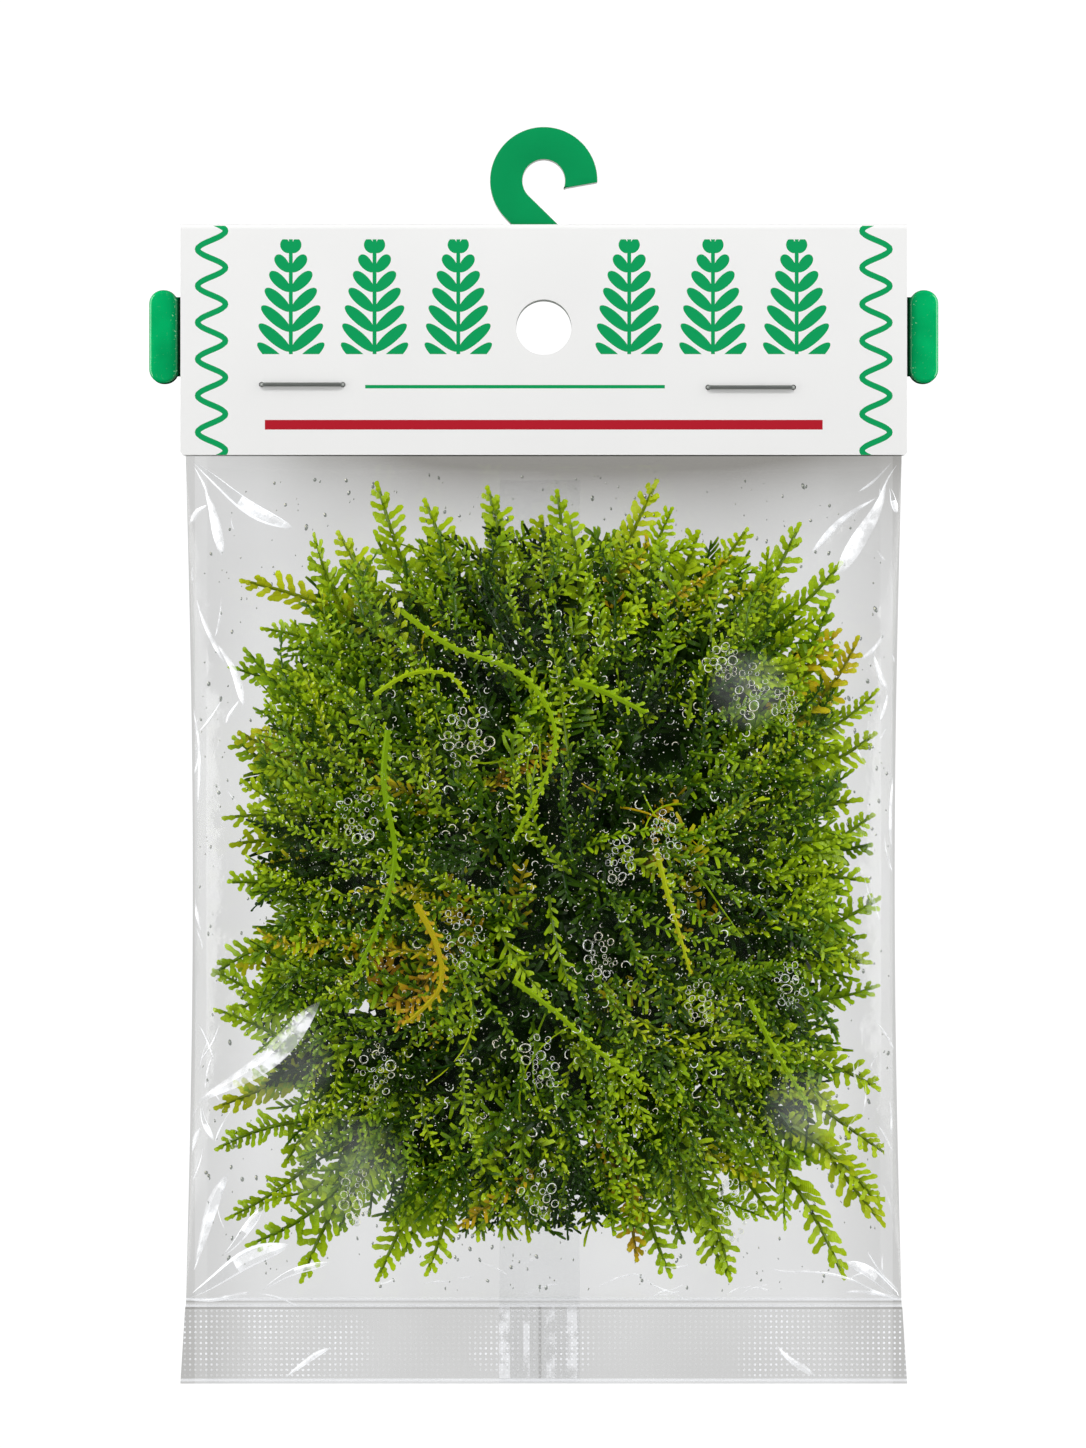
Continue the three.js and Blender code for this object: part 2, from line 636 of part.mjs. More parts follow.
// Long single stems pressed between the tangle and the film. Places are from the moss's centre.
const STEMS = [
  {
    name: "stem_arch",
    side: -1,
    leaf: 1.5,
    places: [[-21, 39], [-14, 34], [-4, 30], [0.8, 23], [0, 16], [-5, 6]],
  },
  { name: "stem_bow", side: -1, leaf: 1.1, places: [[-25, 27], [-20, 30], [-14.5, 30], [-11.5, 26.5]] },
  {
    name: "stem_left",
    side: -1,
    leaf: 1.8,
    places: [[-23, 22], [-23.6, 14], [-22, 4], [-24, -5], [-28, -14]],
  },
  { name: "stem_gold", side: -1, leaf: 1.2, places: [[15.5, 5], [17, -1], [18.5, -6], [20.5, -13]] },
  { name: "stem_slant", side: -1, leaf: 1.2, places: [[-5, -14], [1, -18.5], [7, -24], [13.5, -29]] },
  { name: "stem_right", side: -1, leaf: 1.3, places: [[29, -17], [32, -23], [35, -28], [38, -33]] },
  { name: "stem_short", side: -1, leaf: 2.2, places: [[3.5, 29], [8, 27.5], [14, 24.5]] },
  { name: "stem_brown", side: -1, leaf: 2.2, places: [[-19, -3], [-16, -9], [-15.5, -15], [-20, -20]] },
  { name: "stem_back_left", side: 1, leaf: 1.6, places: [[-27, 30], [-25, 18], [-19, 8], [-21, -4]] },
  { name: "stem_back_middle", side: 1, leaf: 1.4, places: [[-3, 26], [4, 15], [2, 2], [8, -9]] },
  { name: "stem_back_low", side: 1, leaf: 1.5, places: [[-14, -20], [-4, -27], [8, -28], [17, -33]] },
  { name: "stem_back_right", side: 1, leaf: 1.7, places: [[25, 32], [28, 19], [24, 6], [29, -7]] },
];

function longStem({ side, leaf, places }) {
  const path = new THREE.SplineCurve(
    places.map(([x, z]) => new THREE.Vector2(MOSS_CENTRE.x + x, MOSS_CENTRE.z + z)),
  );
  const clear = FIT_GAP + 0.12 + BLADE_THICK / 2;
  return frond(path, {
    pairs: Math.round(path.getLength() / 3.1),
    halfWidth: leaf,
    rib: 0.5,
    sweep: 0.7,
    yAt: (x, z) => BAG_Y + side * (filmInside(x, z) - clear),
  });
}

const pack = new THREE.Group();
pack.add(meshOf("header_card", foldedCard(), MATERIALS.card));
pack.add(meshOf("hook_board", hookBoard(), MATERIALS.hook));
pack.add(meshOf("side_clip_left", sideClip(-1), MATERIALS.clip));
pack.add(meshOf("side_clip_right", sideClip(1), MATERIALS.clip));
for (const s of STAPLES) pack.add(meshOf(s.name, staple(s), MATERIALS.staple));
pack.add(meshOf("film_bag", filmBag(), MATERIALS.film));
pack.add(meshOf("moss_tangle", mossTangle(), MATERIALS.moss));
for (const s of STEMS) pack.add(meshOf(s.name, longStem(s), MATERIALS.stem));

export default pack;
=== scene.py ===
"""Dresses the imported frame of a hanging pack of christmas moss: leafy fronds, clear film, printed
header card, hook board, side clips, staples and the water inside the bag.

Lengths are metres, as in the frame. Sizes that start as millimetres are multiplied by MM. The front
of the pack faces -Y and +Z is up.
"""

import math
from typing import NamedTuple

import bmesh
import bpy
import numpy as np
from bpy.props import FloatProperty, FloatVectorProperty, IntProperty, PointerProperty
from mathutils import Matrix, Vector


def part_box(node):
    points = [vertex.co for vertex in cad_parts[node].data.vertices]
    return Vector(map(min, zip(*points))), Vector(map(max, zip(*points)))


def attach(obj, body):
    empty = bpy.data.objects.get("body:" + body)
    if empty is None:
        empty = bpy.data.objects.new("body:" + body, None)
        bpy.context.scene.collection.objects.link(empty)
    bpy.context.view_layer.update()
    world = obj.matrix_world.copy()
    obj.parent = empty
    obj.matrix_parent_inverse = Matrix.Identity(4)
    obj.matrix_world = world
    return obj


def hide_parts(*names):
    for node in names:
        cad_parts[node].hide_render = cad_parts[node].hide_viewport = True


bl_info = {
    "name": "Christmas moss pack",
    "version": (1, 0, 0),
    "blender": (4, 5, 0),
    "location": "View3D > Sidebar > Moss pack",
    "description": "Models the moss, film and header of a hanging moss pack around its frame",
    "category": "Object",
}

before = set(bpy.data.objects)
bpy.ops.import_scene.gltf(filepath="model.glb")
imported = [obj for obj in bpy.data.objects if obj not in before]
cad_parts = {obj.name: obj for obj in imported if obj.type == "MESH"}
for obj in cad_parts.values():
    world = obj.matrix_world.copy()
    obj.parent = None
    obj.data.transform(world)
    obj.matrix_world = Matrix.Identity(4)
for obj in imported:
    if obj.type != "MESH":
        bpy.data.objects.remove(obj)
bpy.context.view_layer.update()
BODY = "root"
MAP = "OFBake"
MM = 0.001

# The frame's own sizes, read from its nodes, in millimetres
CARD_LOW, CARD_HIGH = (np.array(corner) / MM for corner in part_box("header_card"))
BAG_LOW, BAG_HIGH = (np.array(corner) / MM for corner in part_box("film_bag"))
HOOK_LOW, HOOK_HIGH = (np.array(corner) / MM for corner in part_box("hook_board"))

# Sizes of the construction, the same as the part's source gives them, in millimetres
BAG_Y = 1.75
BELLY_TOP = CARD_LOW[2] - 0.45
SEAL_TOP = -166.1
NECK_HALF_WIDTH = 51.9
WAIST_PULL = 1.0
SEAL_HALF_TOP = 52.0
SEAL_HALF_BOTTOM = 52.7
BELLY_HALF_DEPTH = 10.5
FILM_WALL = 0.35
FIN_X = -0.6
FIN_HALF = 5.85
MOSS_CENTRE = (0.6, -104.5)
CORE = (33.0, 41.0, 2.8)
SPREAD = (48.0, 57.0, 3.5)
HANG_HOLE_Z = -24.3
HANG_HOLE_R = 4.0
HOOK_INNER_R = 3.06
HOOK_OUTER_R = 7.8
STEM_SLOPE = math.radians(-44.5)
STAPLES = {"staple_left": (-34.9, -32.6, 12.3), "staple_right": (29.9, -33.0, 12.9)}

# The header's card, staples, hook board and clips: walls, play, corners and boxes, in millimetres
WIRE = 0.6
CLINCH = 4.6
LEG_PLAY = 0.1
CARD_WALL = 0.5
CARD_CORNER = 0.5
FOLD_ROUND = 0.8
SLOT_X = (-5.9, 3.6)
SLOT_PLAY = 0.3
HOOK_FOOT = (14, -31.5, -14.5)
STEM_RUN = 17
CLIP_HEAD = ((52.9, -1.6, -32.35), (57.05, 2.8, -18.9))
CLIP_TONGUE = ((44, -1, -31.3), (53.9, 1, -19.9))
CLIP_GROOVES = (52.62, 53.1)

# The photograph's frame and the scale read from it
PHOTO_WIDTH = 1086
PHOTO_HEIGHT = 1448
PHOTO_MM = 0.1445
PHOTO_X0 = 543.75
PHOTO_Z0 = 159.0


# Materials


class Amount:
    """A number on its way through a material. Sums with it add Math nodes."""

    def __init__(self, look, socket):
        self.look = look
        self.socket = socket

    def of(self, operation, *others):
        return self.look.maths(operation, self, *others)

    def __add__(self, other):
        return self.of("ADD", other)

    def __sub__(self, other):
        return self.of("SUBTRACT", other)

    def __rsub__(self, other):
        return self.look.maths("SUBTRACT", other, self)

    def __mul__(self, other):
        return self.of("MULTIPLY", other)

    def __truediv__(self, other):
        return self.of("DIVIDE", other)

    def __lt__(self, other):
        return self.of("LESS_THAN", other)

    def __gt__(self, other):
        return self.of("GREATER_THAN", other)

    def __abs__(self):
        return self.of("ABSOLUTE")

    __radd__ = __add__
    __rmul__ = __mul__

    def at_least(self, low):
        return self.of("MAXIMUM", low)

    def at_most(self, high):
        return self.of("MINIMUM", high)

    def clipped(self):
        return self.at_least(0.0).at_most(1.0)


class Look:
    """A node material in the making. Colours are given without their alpha."""

    def __init__(self, name):
        self.material = bpy.data.materials.new(name)
        self.material.use_nodes = True
        self.tree = self.material.node_tree
        self.tree.nodes.clear()

    def feed(self, socket, value):
        if isinstance(value, Amount):
            value = value.socket
        if isinstance(value, bpy.types.NodeSocket):
            self.tree.links.new(value, socket)
        elif socket.type == "RGBA":
            socket.default_value = (*value[:3], 1)
        else:
            socket.default_value = value

    def node(self, kind, settings=None, values=None):
        made = self.tree.nodes.new(kind)
        for key, value in (settings or {}).items():
            if key == "stops":
                set_stops(made.color_ramp, value)
            else:
                setattr(made, key, value)
        for key, value in (values or {}).items():
            self.feed(made.inputs[key], value)
        return made

    def maths(self, operation, *values):
        made = self.node("ShaderNodeMath", {"operation": operation}, dict(enumerate(values)))
        return Amount(self, made.outputs[0])

    def mix(self, share, first, second):
        """Mixes two colours."""
        made = self.node("ShaderNodeMix", {"data_type": "RGBA"}, {0: share, 6: first, 7: second})
        return made.outputs[2]

    def ramp(self, share, stops):
        return self.node("ShaderNodeValToRGB", {"stops": stops}, {0: share}).outputs[0]

    def parts(self, coords):
        split = self.node("ShaderNodeSeparateXYZ", values={0: coords})
        return [Amount(self, out) for out in split.outputs]

    def place(self):
        """Object coordinates as three numbers in millimetres."""
        coords = self.node("ShaderNodeTexCoord").outputs["Object"]
        return [part * (1 / MM) for part in self.parts(coords)]

    def map_place(self):
        """The piece's own map as two numbers."""
        return self.parts(self.node("ShaderNodeUVMap", {"uv_map": MAP}).outputs[0])[:2]

    def noise(self, scale, detail=3.0, stretch=(1, 1, 1)):
        """Noise on Object coordinates. scale is in lumps for each millimetre."""
        coords = self.node("ShaderNodeTexCoord").outputs["Object"]
        size = [scale / MM * s for s in stretch]
        moved = self.node("ShaderNodeMapping", values={"Vector": coords, "Scale": size})
        values = {"Vector": moved.outputs[0], "Scale": 1.0, "Detail": detail, "Roughness": 0.5}
        return Amount(self, self.node("ShaderNodeTexNoise", values=values).outputs[0])

    def bump(self, height, distance_mm, strength=1.0):
        values = {"Height": height, "Distance": distance_mm * MM, "Strength": strength}
        return self.node("ShaderNodeBump", values=values).outputs[0]

    def clear(self, colour):
        return self.node("ShaderNodeBsdfTransparent", values={"Color": colour})

    def gloss(self, **values):
        return self.node("ShaderNodeBsdfGlossy", values={"Color": (1, 1, 1), **values})

    def principled(self, **values):
        """Words of a socket's name are joined by underscores."""
        named = {key.replace("_", " "): value for key, value in values.items()}
        return self.node("ShaderNodeBsdfPrincipled", values=named)

    def blend(self, share, first, second):
        """Mixes two shaders."""
        values = {0: share, 1: first.outputs[0], 2: second.outputs[0]}
        return self.node("ShaderNodeMixShader", values=values)

    def surface(self, shader):
        self.node("ShaderNodeOutputMaterial", values={0: shader.outputs[0]})
        return self.material

    def solid(self, **values):
        return self.surface(self.principled(**values))


def set_stops(ramp, stops):
    """Stops are (place, colour) pairs."""
    while len(ramp.elements) < len(stops):
        ramp.elements.new(0.5)
    for element, (place, colour) in zip(ramp.elements, stops):
        element.position = place
        element.color = (*colour, 1)


def shaded(colour, share):
    return [part * share for part in colour]


# Meshes


def add_object(name, data):
    made = bpy.data.objects.new(name, data)
    bpy.context.scene.collection.objects.link(made)
    return made


def finish_piece(name, mesh, materials, slot_name, *replaced, smooth=True):
    """Puts a mesh in the scene as a piece of the pack."""
    mesh.name = name
    for look in materials:
        mesh.materials.append(look)
    mesh.polygons.foreach_set("use_smooth", [smooth] * len(mesh.polygons))
    piece = add_object(name, mesh)
    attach(piece, BODY)
    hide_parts(*replaced)
    return piece


def mesh_from(bm, name):
    mesh = bpy.data.meshes.new(name)
    bm.to_mesh(mesh)
    bm.free()
    return mesh


def coords_of(mesh):
    flat = np.empty(len(mesh.vertices) * 3)
    mesh.vertices.foreach_get("co", flat)
    return flat.reshape(-1, 3)


def put_coords(mesh, coords):
    """Moves a mesh's points to places given in millimetres."""
    mesh.vertices.foreach_set("co", (coords * MM).ravel())
    mesh.update()


def raise_map(mesh, rises):
    """Adds to the second number of the piece's own map, one value for each face corner."""
    data = mesh.uv_layers[MAP].data
    flat = np.empty(len(data) * 2)
    data.foreach_get("uv", flat)
    flat[1::2] += rises
    data.foreach_set("uv", flat)


def map_corners(bm, rule, faces=None):
    """Gives corners their places on the map. rule takes a corner's point and its old place."""
    layers = bm.loops.layers.uv
    layer = layers.get(MAP) or layers.new(MAP)
    for face in faces or bm.faces:
        for loop in face.loops:
            loop[layer].uv = rule(loop.vert.co, *loop[layer].uv)


def add_copy(bm, mesh, matrix, rule):
    """Adds a copy of a mesh and gives its corners their places on the map."""
    verts, faces = len(bm.verts), len(bm.faces)
    bm.from_mesh(mesh)
    bm.verts.ensure_lookup_table()
    bm.faces.ensure_lookup_table()
    bmesh.ops.transform(bm, matrix=matrix, verts=bm.verts[verts:])
    map_corners(bm, rule, bm.faces[faces:])


def all_of(bm):
    return bm.verts[:] + bm.edges[:] + bm.faces[:]


def grid(columns, rows, rule):
    """A flat grid from -1 to 1 both ways, with its map."""
    bm = bmesh.new()
    bmesh.ops.create_grid(bm, x_segments=columns, y_segments=rows, size=1)
    map_corners(bm, rule)
    return mesh_from(bm, "grid")


def stick(sides, radius, tip_radius, length, cuts):
    """A closed bar along +X from 0, cut across at places so that it can bend."""
    bm = bmesh.new()
    size = dict(segments=sides, radius1=radius, radius2=tip_radius, depth=length)
    bmesh.ops.create_cone(bm, cap_ends=True, **size)
    lie = Matrix.Translation((length / 2, 0, 0)) @ Matrix.Rotation(math.pi / 2, 4, "Y")
    bmesh.ops.transform(bm, matrix=lie, verts=bm.verts)
    for cut in cuts:
        bmesh.ops.bisect_plane(bm, geom=all_of(bm), plane_co=(cut, 0, 0), plane_no=(1, 0, 0))
    return bm


# The bag's form, as the part's source has it. Arguments and results are millimetres.


def half_width_at(z):
    neck = np.full_like(z, NECK_HALF_WIDTH)
    down = np.clip((BELLY_TOP - z) / (BELLY_TOP - SEAL_TOP), 0, 1)
    belly = NECK_HALF_WIDTH - WAIST_PULL * np.sin(np.pi * down)
    low = np.clip((SEAL_TOP - z) / (SEAL_TOP - BAG_LOW[2]), 0, 1)
    seal = SEAL_HALF_TOP + (SEAL_HALF_BOTTOM - SEAL_HALF_TOP) * low
    return np.where(z >= BELLY_TOP, neck, np.where(z <= SEAL_TOP, seal, belly))


def belly_depth(x, z):
    down = np.clip((BELLY_TOP - z) / (BELLY_TOP - SEAL_TOP), 0, 1)
    across = np.minimum(np.abs(x) / half_width_at(z), 1)
    along = np.sin(np.pi * down) ** 0.6
    return BELLY_HALF_DEPTH * along * (1 - across**2.4) ** 0.6


def film_inside(x, z):
    return np.maximum(belly_depth(x, z) - FILM_WALL, 0.1)


def inside_at(x, z):
    return float(film_inside(np.array(x), np.array(z)))


def moss_room(x, z):
    return np.maximum(film_inside(x, z) - 1.9, 0.25)


def seeded(seed):
    """The part's own repeatable draw, from 0 to 1 or between two numbers."""
    state = seed
    full = 0xFFFFFFFF

    def draw(low=0.0, high=1.0):
        nonlocal state
        state = (state + 0x6D2B79F5) & full
        t = ((state ^ (state >> 15)) * (1 | state)) & full
        t = ((t + (((t ^ (t >> 7)) * (61 | t)) & full)) & full) ^ t
        return low + (high - low) * (((t ^ (t >> 14)) & full) / (full + 1))

    return draw


def outline_radius(outline, angle):
    a, b, power = outline
    c = (abs(math.cos(angle)) / a) ** power
    s = (abs(math.sin(angle)) / b) ** power
    return (c + s) ** (-1 / power)


def place_on(outline, angle, share):
    r = outline_radius(outline, angle) * share
    return (MOSS_CENTRE[0] + r * math.cos(angle), MOSS_CENTRE[1] + r * math.sin(angle))


def reached(root, heading, length):
    return (root[0] + length * math.cos(heading), root[1] + length * math.sin(heading))


def bowed(root, tip, bow):
    """A bowed line as its three control places, in X and Z."""
    dx, dz = tip[0] - root[0], tip[1] - root[1]
    return (root, (root[0] + dx / 2 - dz * bow, root[1] + dz / 2 + dx * bow), tip)


# Moss


# Leaflet spacing, where a leaflet's teeth stand out, how rim fronds curl, and a long stem's steps
LEAF_PITCH = 1.25
ROPE_PITCH = 1.0
TOOTH = 0.62
RIM_CURL = 0.03
STALK_STEP = 0.9
LEAF_STEP = 0.5


class Frond(NamedTuple):
    """Where one copy of a frond pattern goes, and how it lies there."""

    line: tuple
    pattern: bpy.types.Mesh
    share: float
    slope: float
    width: float = 1.0
    roll: float = 0.0
    curl: float = 0.0
    hue: float = 0.5
    side: int = -1


def leaflet_mesh(scales, half_width, half_thick):
    """A blunt branchlet lying along +X from 0 to 1: three-sided, ridged above, with scales as teeth."""
    cuts = [(k + part) / scales for k in range(scales) for part in (0.0, TOOTH)][1:]
    bm = stick(3, 1, 1, 1, cuts if scales > 1 else [0.6])
    for vert in bm.verts:
        t = min(max(vert.co.x, 0.0), 1.0)
        angle = math.atan2(vert.co.y, vert.co.z)
        phase = (t * scales + 1e-4) % 1.0
        tooth = 1.0 if scales == 1 else float(np.interp(phase, [0, TOOTH, 1], [0.8, 1.2, 0.8]))
        body = float(np.interp(t, [0, 0.15, 0.8, 1], [0.7, 1.0, 0.92, 0.62]))
        vert.co.y = math.sin(angle) * half_width * 1.15 * body * tooth
        vert.co.z = math.cos(angle) * half_thick * body * tooth
    map_corners(bm, lambda co, u, v: (co.x, co.y / half_width + (0.35 if co.z > 0 else 0.0)))
    bmesh.ops.triangulate(bm, faces=bm.faces)
    bmesh.ops.recalc_face_normals(bm, faces=bm.faces)
    return mesh_from(bm, "leaflet")


def frond_pattern(name, draw, leaflet, pairs, reach, stem_radius, pitch, wild):
    """A frond lying along +X from 0 to 1. Y and Z are millimetres across it and off it.

    wild is how unlike one another its leaflets are, from 0 to 1.
    """
    length = pairs * pitch
    bm = stick(4, stem_radius, stem_radius / 2, length, [length * k / 5 for k in range(1, 5)])
    map_corners(bm, lambda co, u, v: (0.03 + 0.14 * co.x / length, 0.004 * math.atan2(co.y, co.z)))
    for i in range(2 * pairs + 1):
        t = (i + 0.4) / (2 * pairs + 1)
        spread = min(1.0, 0.55 + 1.9 * t) * (1 - 0.5 * t**4)
        size = reach * spread * draw(0.8 - 0.4 * wild, 1.15 + 0.45 * wild)
        degrees = draw(60 - 34 * wild, 76 + 26 * wild) - 15 * t
        side = (-1, 1)[i % 2] * (i < 2 * pairs)
        rise = math.radians(draw(-14 - 30 * wild, 36 + 26 * wild))
        shift = draw(-0.14, 0.14) * (1 + 2.5 * wild) / pairs
        at = Matrix.Translation((length * min(t + shift, 1), 0, 0))
        turn = Matrix.Rotation(side * math.radians(degrees), 4, "Z") @ Matrix.Rotation(-rise, 4, "Y")
        tone = 0.24 + 0.26 * t + draw(-0.06 - 0.08 * wild, 0.06 + 0.08 * wild)
        matrix = at @ turn @ Matrix.Diagonal((size, 1, 1, 1))
        add_copy(bm, leaflet, matrix, lambda co, u, v: (tone + 0.46 * u, 0.004 * v))
    bmesh.ops.scale(bm, vec=(1 / length, 1, 1), verts=bm.verts)
    bmesh.ops.triangulate(bm, faces=bm.faces)
    return mesh_from(bm, name)


def plant(name, fronds, look):
    """Lays a copy of its pattern along every frond's line and makes them one piece."""
    bm = bmesh.new()
    for frond in fronds:
        bm.from_mesh(frond.pattern)
    mesh = mesh_from(bm, name)
    ends = np.cumsum([len(frond.pattern.vertices) for frond in fronds])
    copies = np.split(coords_of(mesh), ends[:-1])
    put_coords(mesh, np.vstack([laid(frond, local) for frond, local in zip(fronds, copies)]))
    corners = [len(frond.pattern.loops) for frond in fronds]
    raise_map(mesh, np.repeat([frond.hue for frond in fronds], corners))
    finish_piece(name, mesh, [look], "moss", "moss_tangle", smooth=False)


def laid(frond, local):
    """Bends a pattern's points along the frond's line, inside the room that the film leaves."""
    a, b, c = local.T
    b = -frond.side * frond.width * b
    (x, tx), (z, tz) = (along_bow(a, *places) for places in zip(*frond.line))
    size = np.hypot(tx, tz) + 1e-9
    x, z = x - tz / size * b, z + tx / size * b
    share = frond.share + frond.slope * np.clip(a, 0, 1) ** 0.8
    y = moss_room(x, z) * np.clip(share, -1, 1)
    y = y + frond.roll * b + frond.side * (c - frond.curl * b**2)
    reach = half_width_at(z) - 2.0
    x = np.clip(x, -reach, reach)
    room = np.maximum(film_inside(x, z) - 1.15, 0.1)
    return np.column_stack([x, BAG_Y + np.clip(y, -room, room), z])


def along_bow(a, p0, p1, p2):
    """Places along a bowed line and the line's rate there, one way at a time."""
    place = (1 - a) ** 2 * p0 + 2 * a * (1 - a) * p1 + a**2 * p2
    return place, 2 * (1 - a) * (p1 - p0) + 2 * a * (p2 - p1)


LEADERS = [
    ((-23, 41), (-43.5, 43.5)), ((-20, 42), (-24.5, 57)), ((-7, 43), (-8.5, 56.5)),
    ((5, 43), (1.5, 56)), ((9, 42), (15.5, 57.3)), ((30, 34), (36.2, 51)), ((30, 36), (42, 45.5)),
    ((36, 15), (47, 21)), ((36, -28), (48, -49)), ((33, -40), (42.5, -56.5)), ((22, -43), (26, -57)),
    ((-20, -43), (-24.5, -57)), ((-27, -40), (-35.5, -57)), ((-35, -27), (-47.5, -32.5)),
    ((-36, -6), (-48, -13)), ((-36, 12), (-45, 20.5)),
]
RIM_FRONDS = 27
FACE_FRONDS = 50

# Sprigs that stand out at the sides: root and tip as places in the photograph, and hue
EDGE_SPRIGS = [
    (355, 660, 268, 629, 0.64), (350, 705, 274, 666, 0.68), (310, 1010, 219, 974, 0.62),
    (310, 1055, 221, 1012, 0.66), (310, 1120, 221, 1147, 0.64), (315, 1160, 232, 1217, 0.66),
    (345, 1180, 256, 1243, 0.62), (450, 1190, 428, 1270, 0.68), (640, 1190, 668, 1272, 0.64),
    (700, 1190, 729, 1275, 0.66), (740, 690, 816, 619, 0.68), (770, 720, 834, 637, 0.84),
    (785, 730, 855, 647, 0.82), (790, 745, 874, 695, 0.7), (800, 880, 869, 819, 0.64),
    (795, 940, 876, 902, 0.62), (790, 1000, 873, 989, 0.6), (790, 1060, 874, 1087, 0.7),
    (790, 1085, 884, 1153, 0.74), (780, 1120, 879, 1206, 0.72),
]

# Each long stem: its leaves' length, its hue and its course from the moss's centre
FRONT_STEMS = {
    "stem_arch": (0.85, 0.66, [(-21, 39), (-14, 34), (-4, 30), (0.8, 23), (0, 16), (-5, 6)]),
    "stem_bow": (0.6, 0.74, [(-25, 27), (-20, 30), (-14.5, 30), (-11.5, 26.5)]),
    "stem_left": (1.2, 0.6, [(-23, 22), (-23.6, 14), (-22, 4), (-24, -5), (-28, -14)]),
    "stem_gold": (0.8, 0.8, [(15.5, 5), (17, -1), (18.5, -6), (20.5, -13)]),
    "stem_slant": (0.85, 0.66, [(-5, -14), (1, -18.5), (7, -24), (13.5, -29)]),
    "stem_right": (0.9, 0.64, [(29, -17), (32, -23), (35, -28), (38, -33)]),
    "stem_short": (1.4, 0.64, [(3.5, 29), (8, 27.5), (14, 24.5)]),
    "stem_brown": (1.3, 0.86, [(-19, -3), (-16, -9), (-15.5, -15), (-20, -20)]),
}
BACK_STEMS = {
    "stem_back_left": (1.6, 0.68, [(-27, 30), (-25, 18), (-19, 8), (-21, -4)]),
    "stem_back_middle": (1.4, 0.76, [(-3, 26), (4, 15), (2, 2), (8, -9)]),
    "stem_back_low": (1.5, 0.7, [(-14, -20), (-4, -27), (8, -28), (17, -33)]),
    "stem_back_right": (1.7, 0.66, [(25, 32), (28, 19), (24, 6), (29, -7)]),
}


class Patterns:
    """Frond patterns by length: rich at the rim, curly and rope on the faces, plain deeper down."""

    def __init__(self):
        draw = seeded(5)
        plain = leaflet_mesh(1, 0.38, 0.28)
        makes = {
            "rich": (leaflet_mesh(2, 0.43, 0.3), 3.1, 0.46, LEAF_PITCH, 0.25),
            "curly": (plain, 2.1, 0.34, LEAF_PITCH, 0.6),
            "plain": (plain, 3.0, 0.4, LEAF_PITCH, 0.3),
            "rope": (leaflet_mesh(1, 0.29, 0.22), 1.45, 0.3, ROPE_PITCH, 0.7),
        }
        sizes = [(kind, pairs) for pairs in (5, 7, 9, 12) for kind in ("rich", "curly", "plain")]
        sizes += [("rich", 16), ("curly", 16)] + [("rope", pairs) for pairs in (8, 12, 17, 22)]
        self.kinds = {kind: [] for kind in makes}
        for variant in range(3):
            for kind, pairs in sizes:
                leaflet, reach, radius, pitch, wild = makes[kind]
                made = frond_pattern(kind, draw, leaflet, pairs, reach, radius, pitch, wild)
                self.kinds[kind].append((pairs * pitch + variant * 0.01, made))

    def choose(self, draw, kind, line):
        length = math.dist(line[0], line[2]) + draw(-0.02, 0.02)
        return min(self.kinds[kind], key=lambda entry: abs(entry[0] - length))[1]


GOLDEN_PATCHES = [
    (400, 960, 9), (430, 900, 6), (500, 880, 6), (690, 960, 6), (672, 900, 5), (845, 660, 5),
    (868, 1090, 6), (380, 990, 7), (640, 1010, 5), (520, 760, 5),
]
# Patches of painted shade, where the deeper fronds are darkened: places in the photograph and radii
PAINTED_SHADE_PATCHES = [
    (520, 610, 11), (470, 690, 8), (650, 700, 9), (330, 860, 7), (600, 800, 8), (740, 900, 8),
    (770, 950, 5), (310, 1060, 6), (440, 1090, 8), (570, 990, 8), (780, 1110, 6), (560, 1190, 9),
]


def photo_place(px, py):
    """Millimetres in the frame's X and Z for a place in the photograph."""
    return ((px - PHOTO_X0) * PHOTO_MM, (PHOTO_Z0 - py) * PHOTO_MM)


def near_patch(patches, x, z):
    """How well inside any of the patches a place lies, from 0 to 1."""
    best = 0.0
    for px, py, radius in patches:
        cx, cz = photo_place(px, py)
        best = max(best, 1 - (math.hypot(x - cx, z - cz) / radius) ** 2)
    return best


def hue_at(draw, line, low, high):
    """A frond's hue: mostly between low and high, golden in the patches where the moss is golden, and darker
    for deeper fronds in the patches of painted shade.
    """
    x, z = line[1]
    hue = draw(low, high)
    chance = draw()
    if chance < near_patch(GOLDEN_PATCHES, x, z) * 0.6:
        return draw(0.78, 0.93)
    # Painted shade: deeper fronds in the shade patches are darkened
    if low < 0.5 and chance < near_patch(PAINTED_SHADE_PATCHES, x, z) * 1.3:
        return hue * draw(0.2, 0.6)
    if chance > 0.98:
        return draw(0.78, 0.88)
    return hue


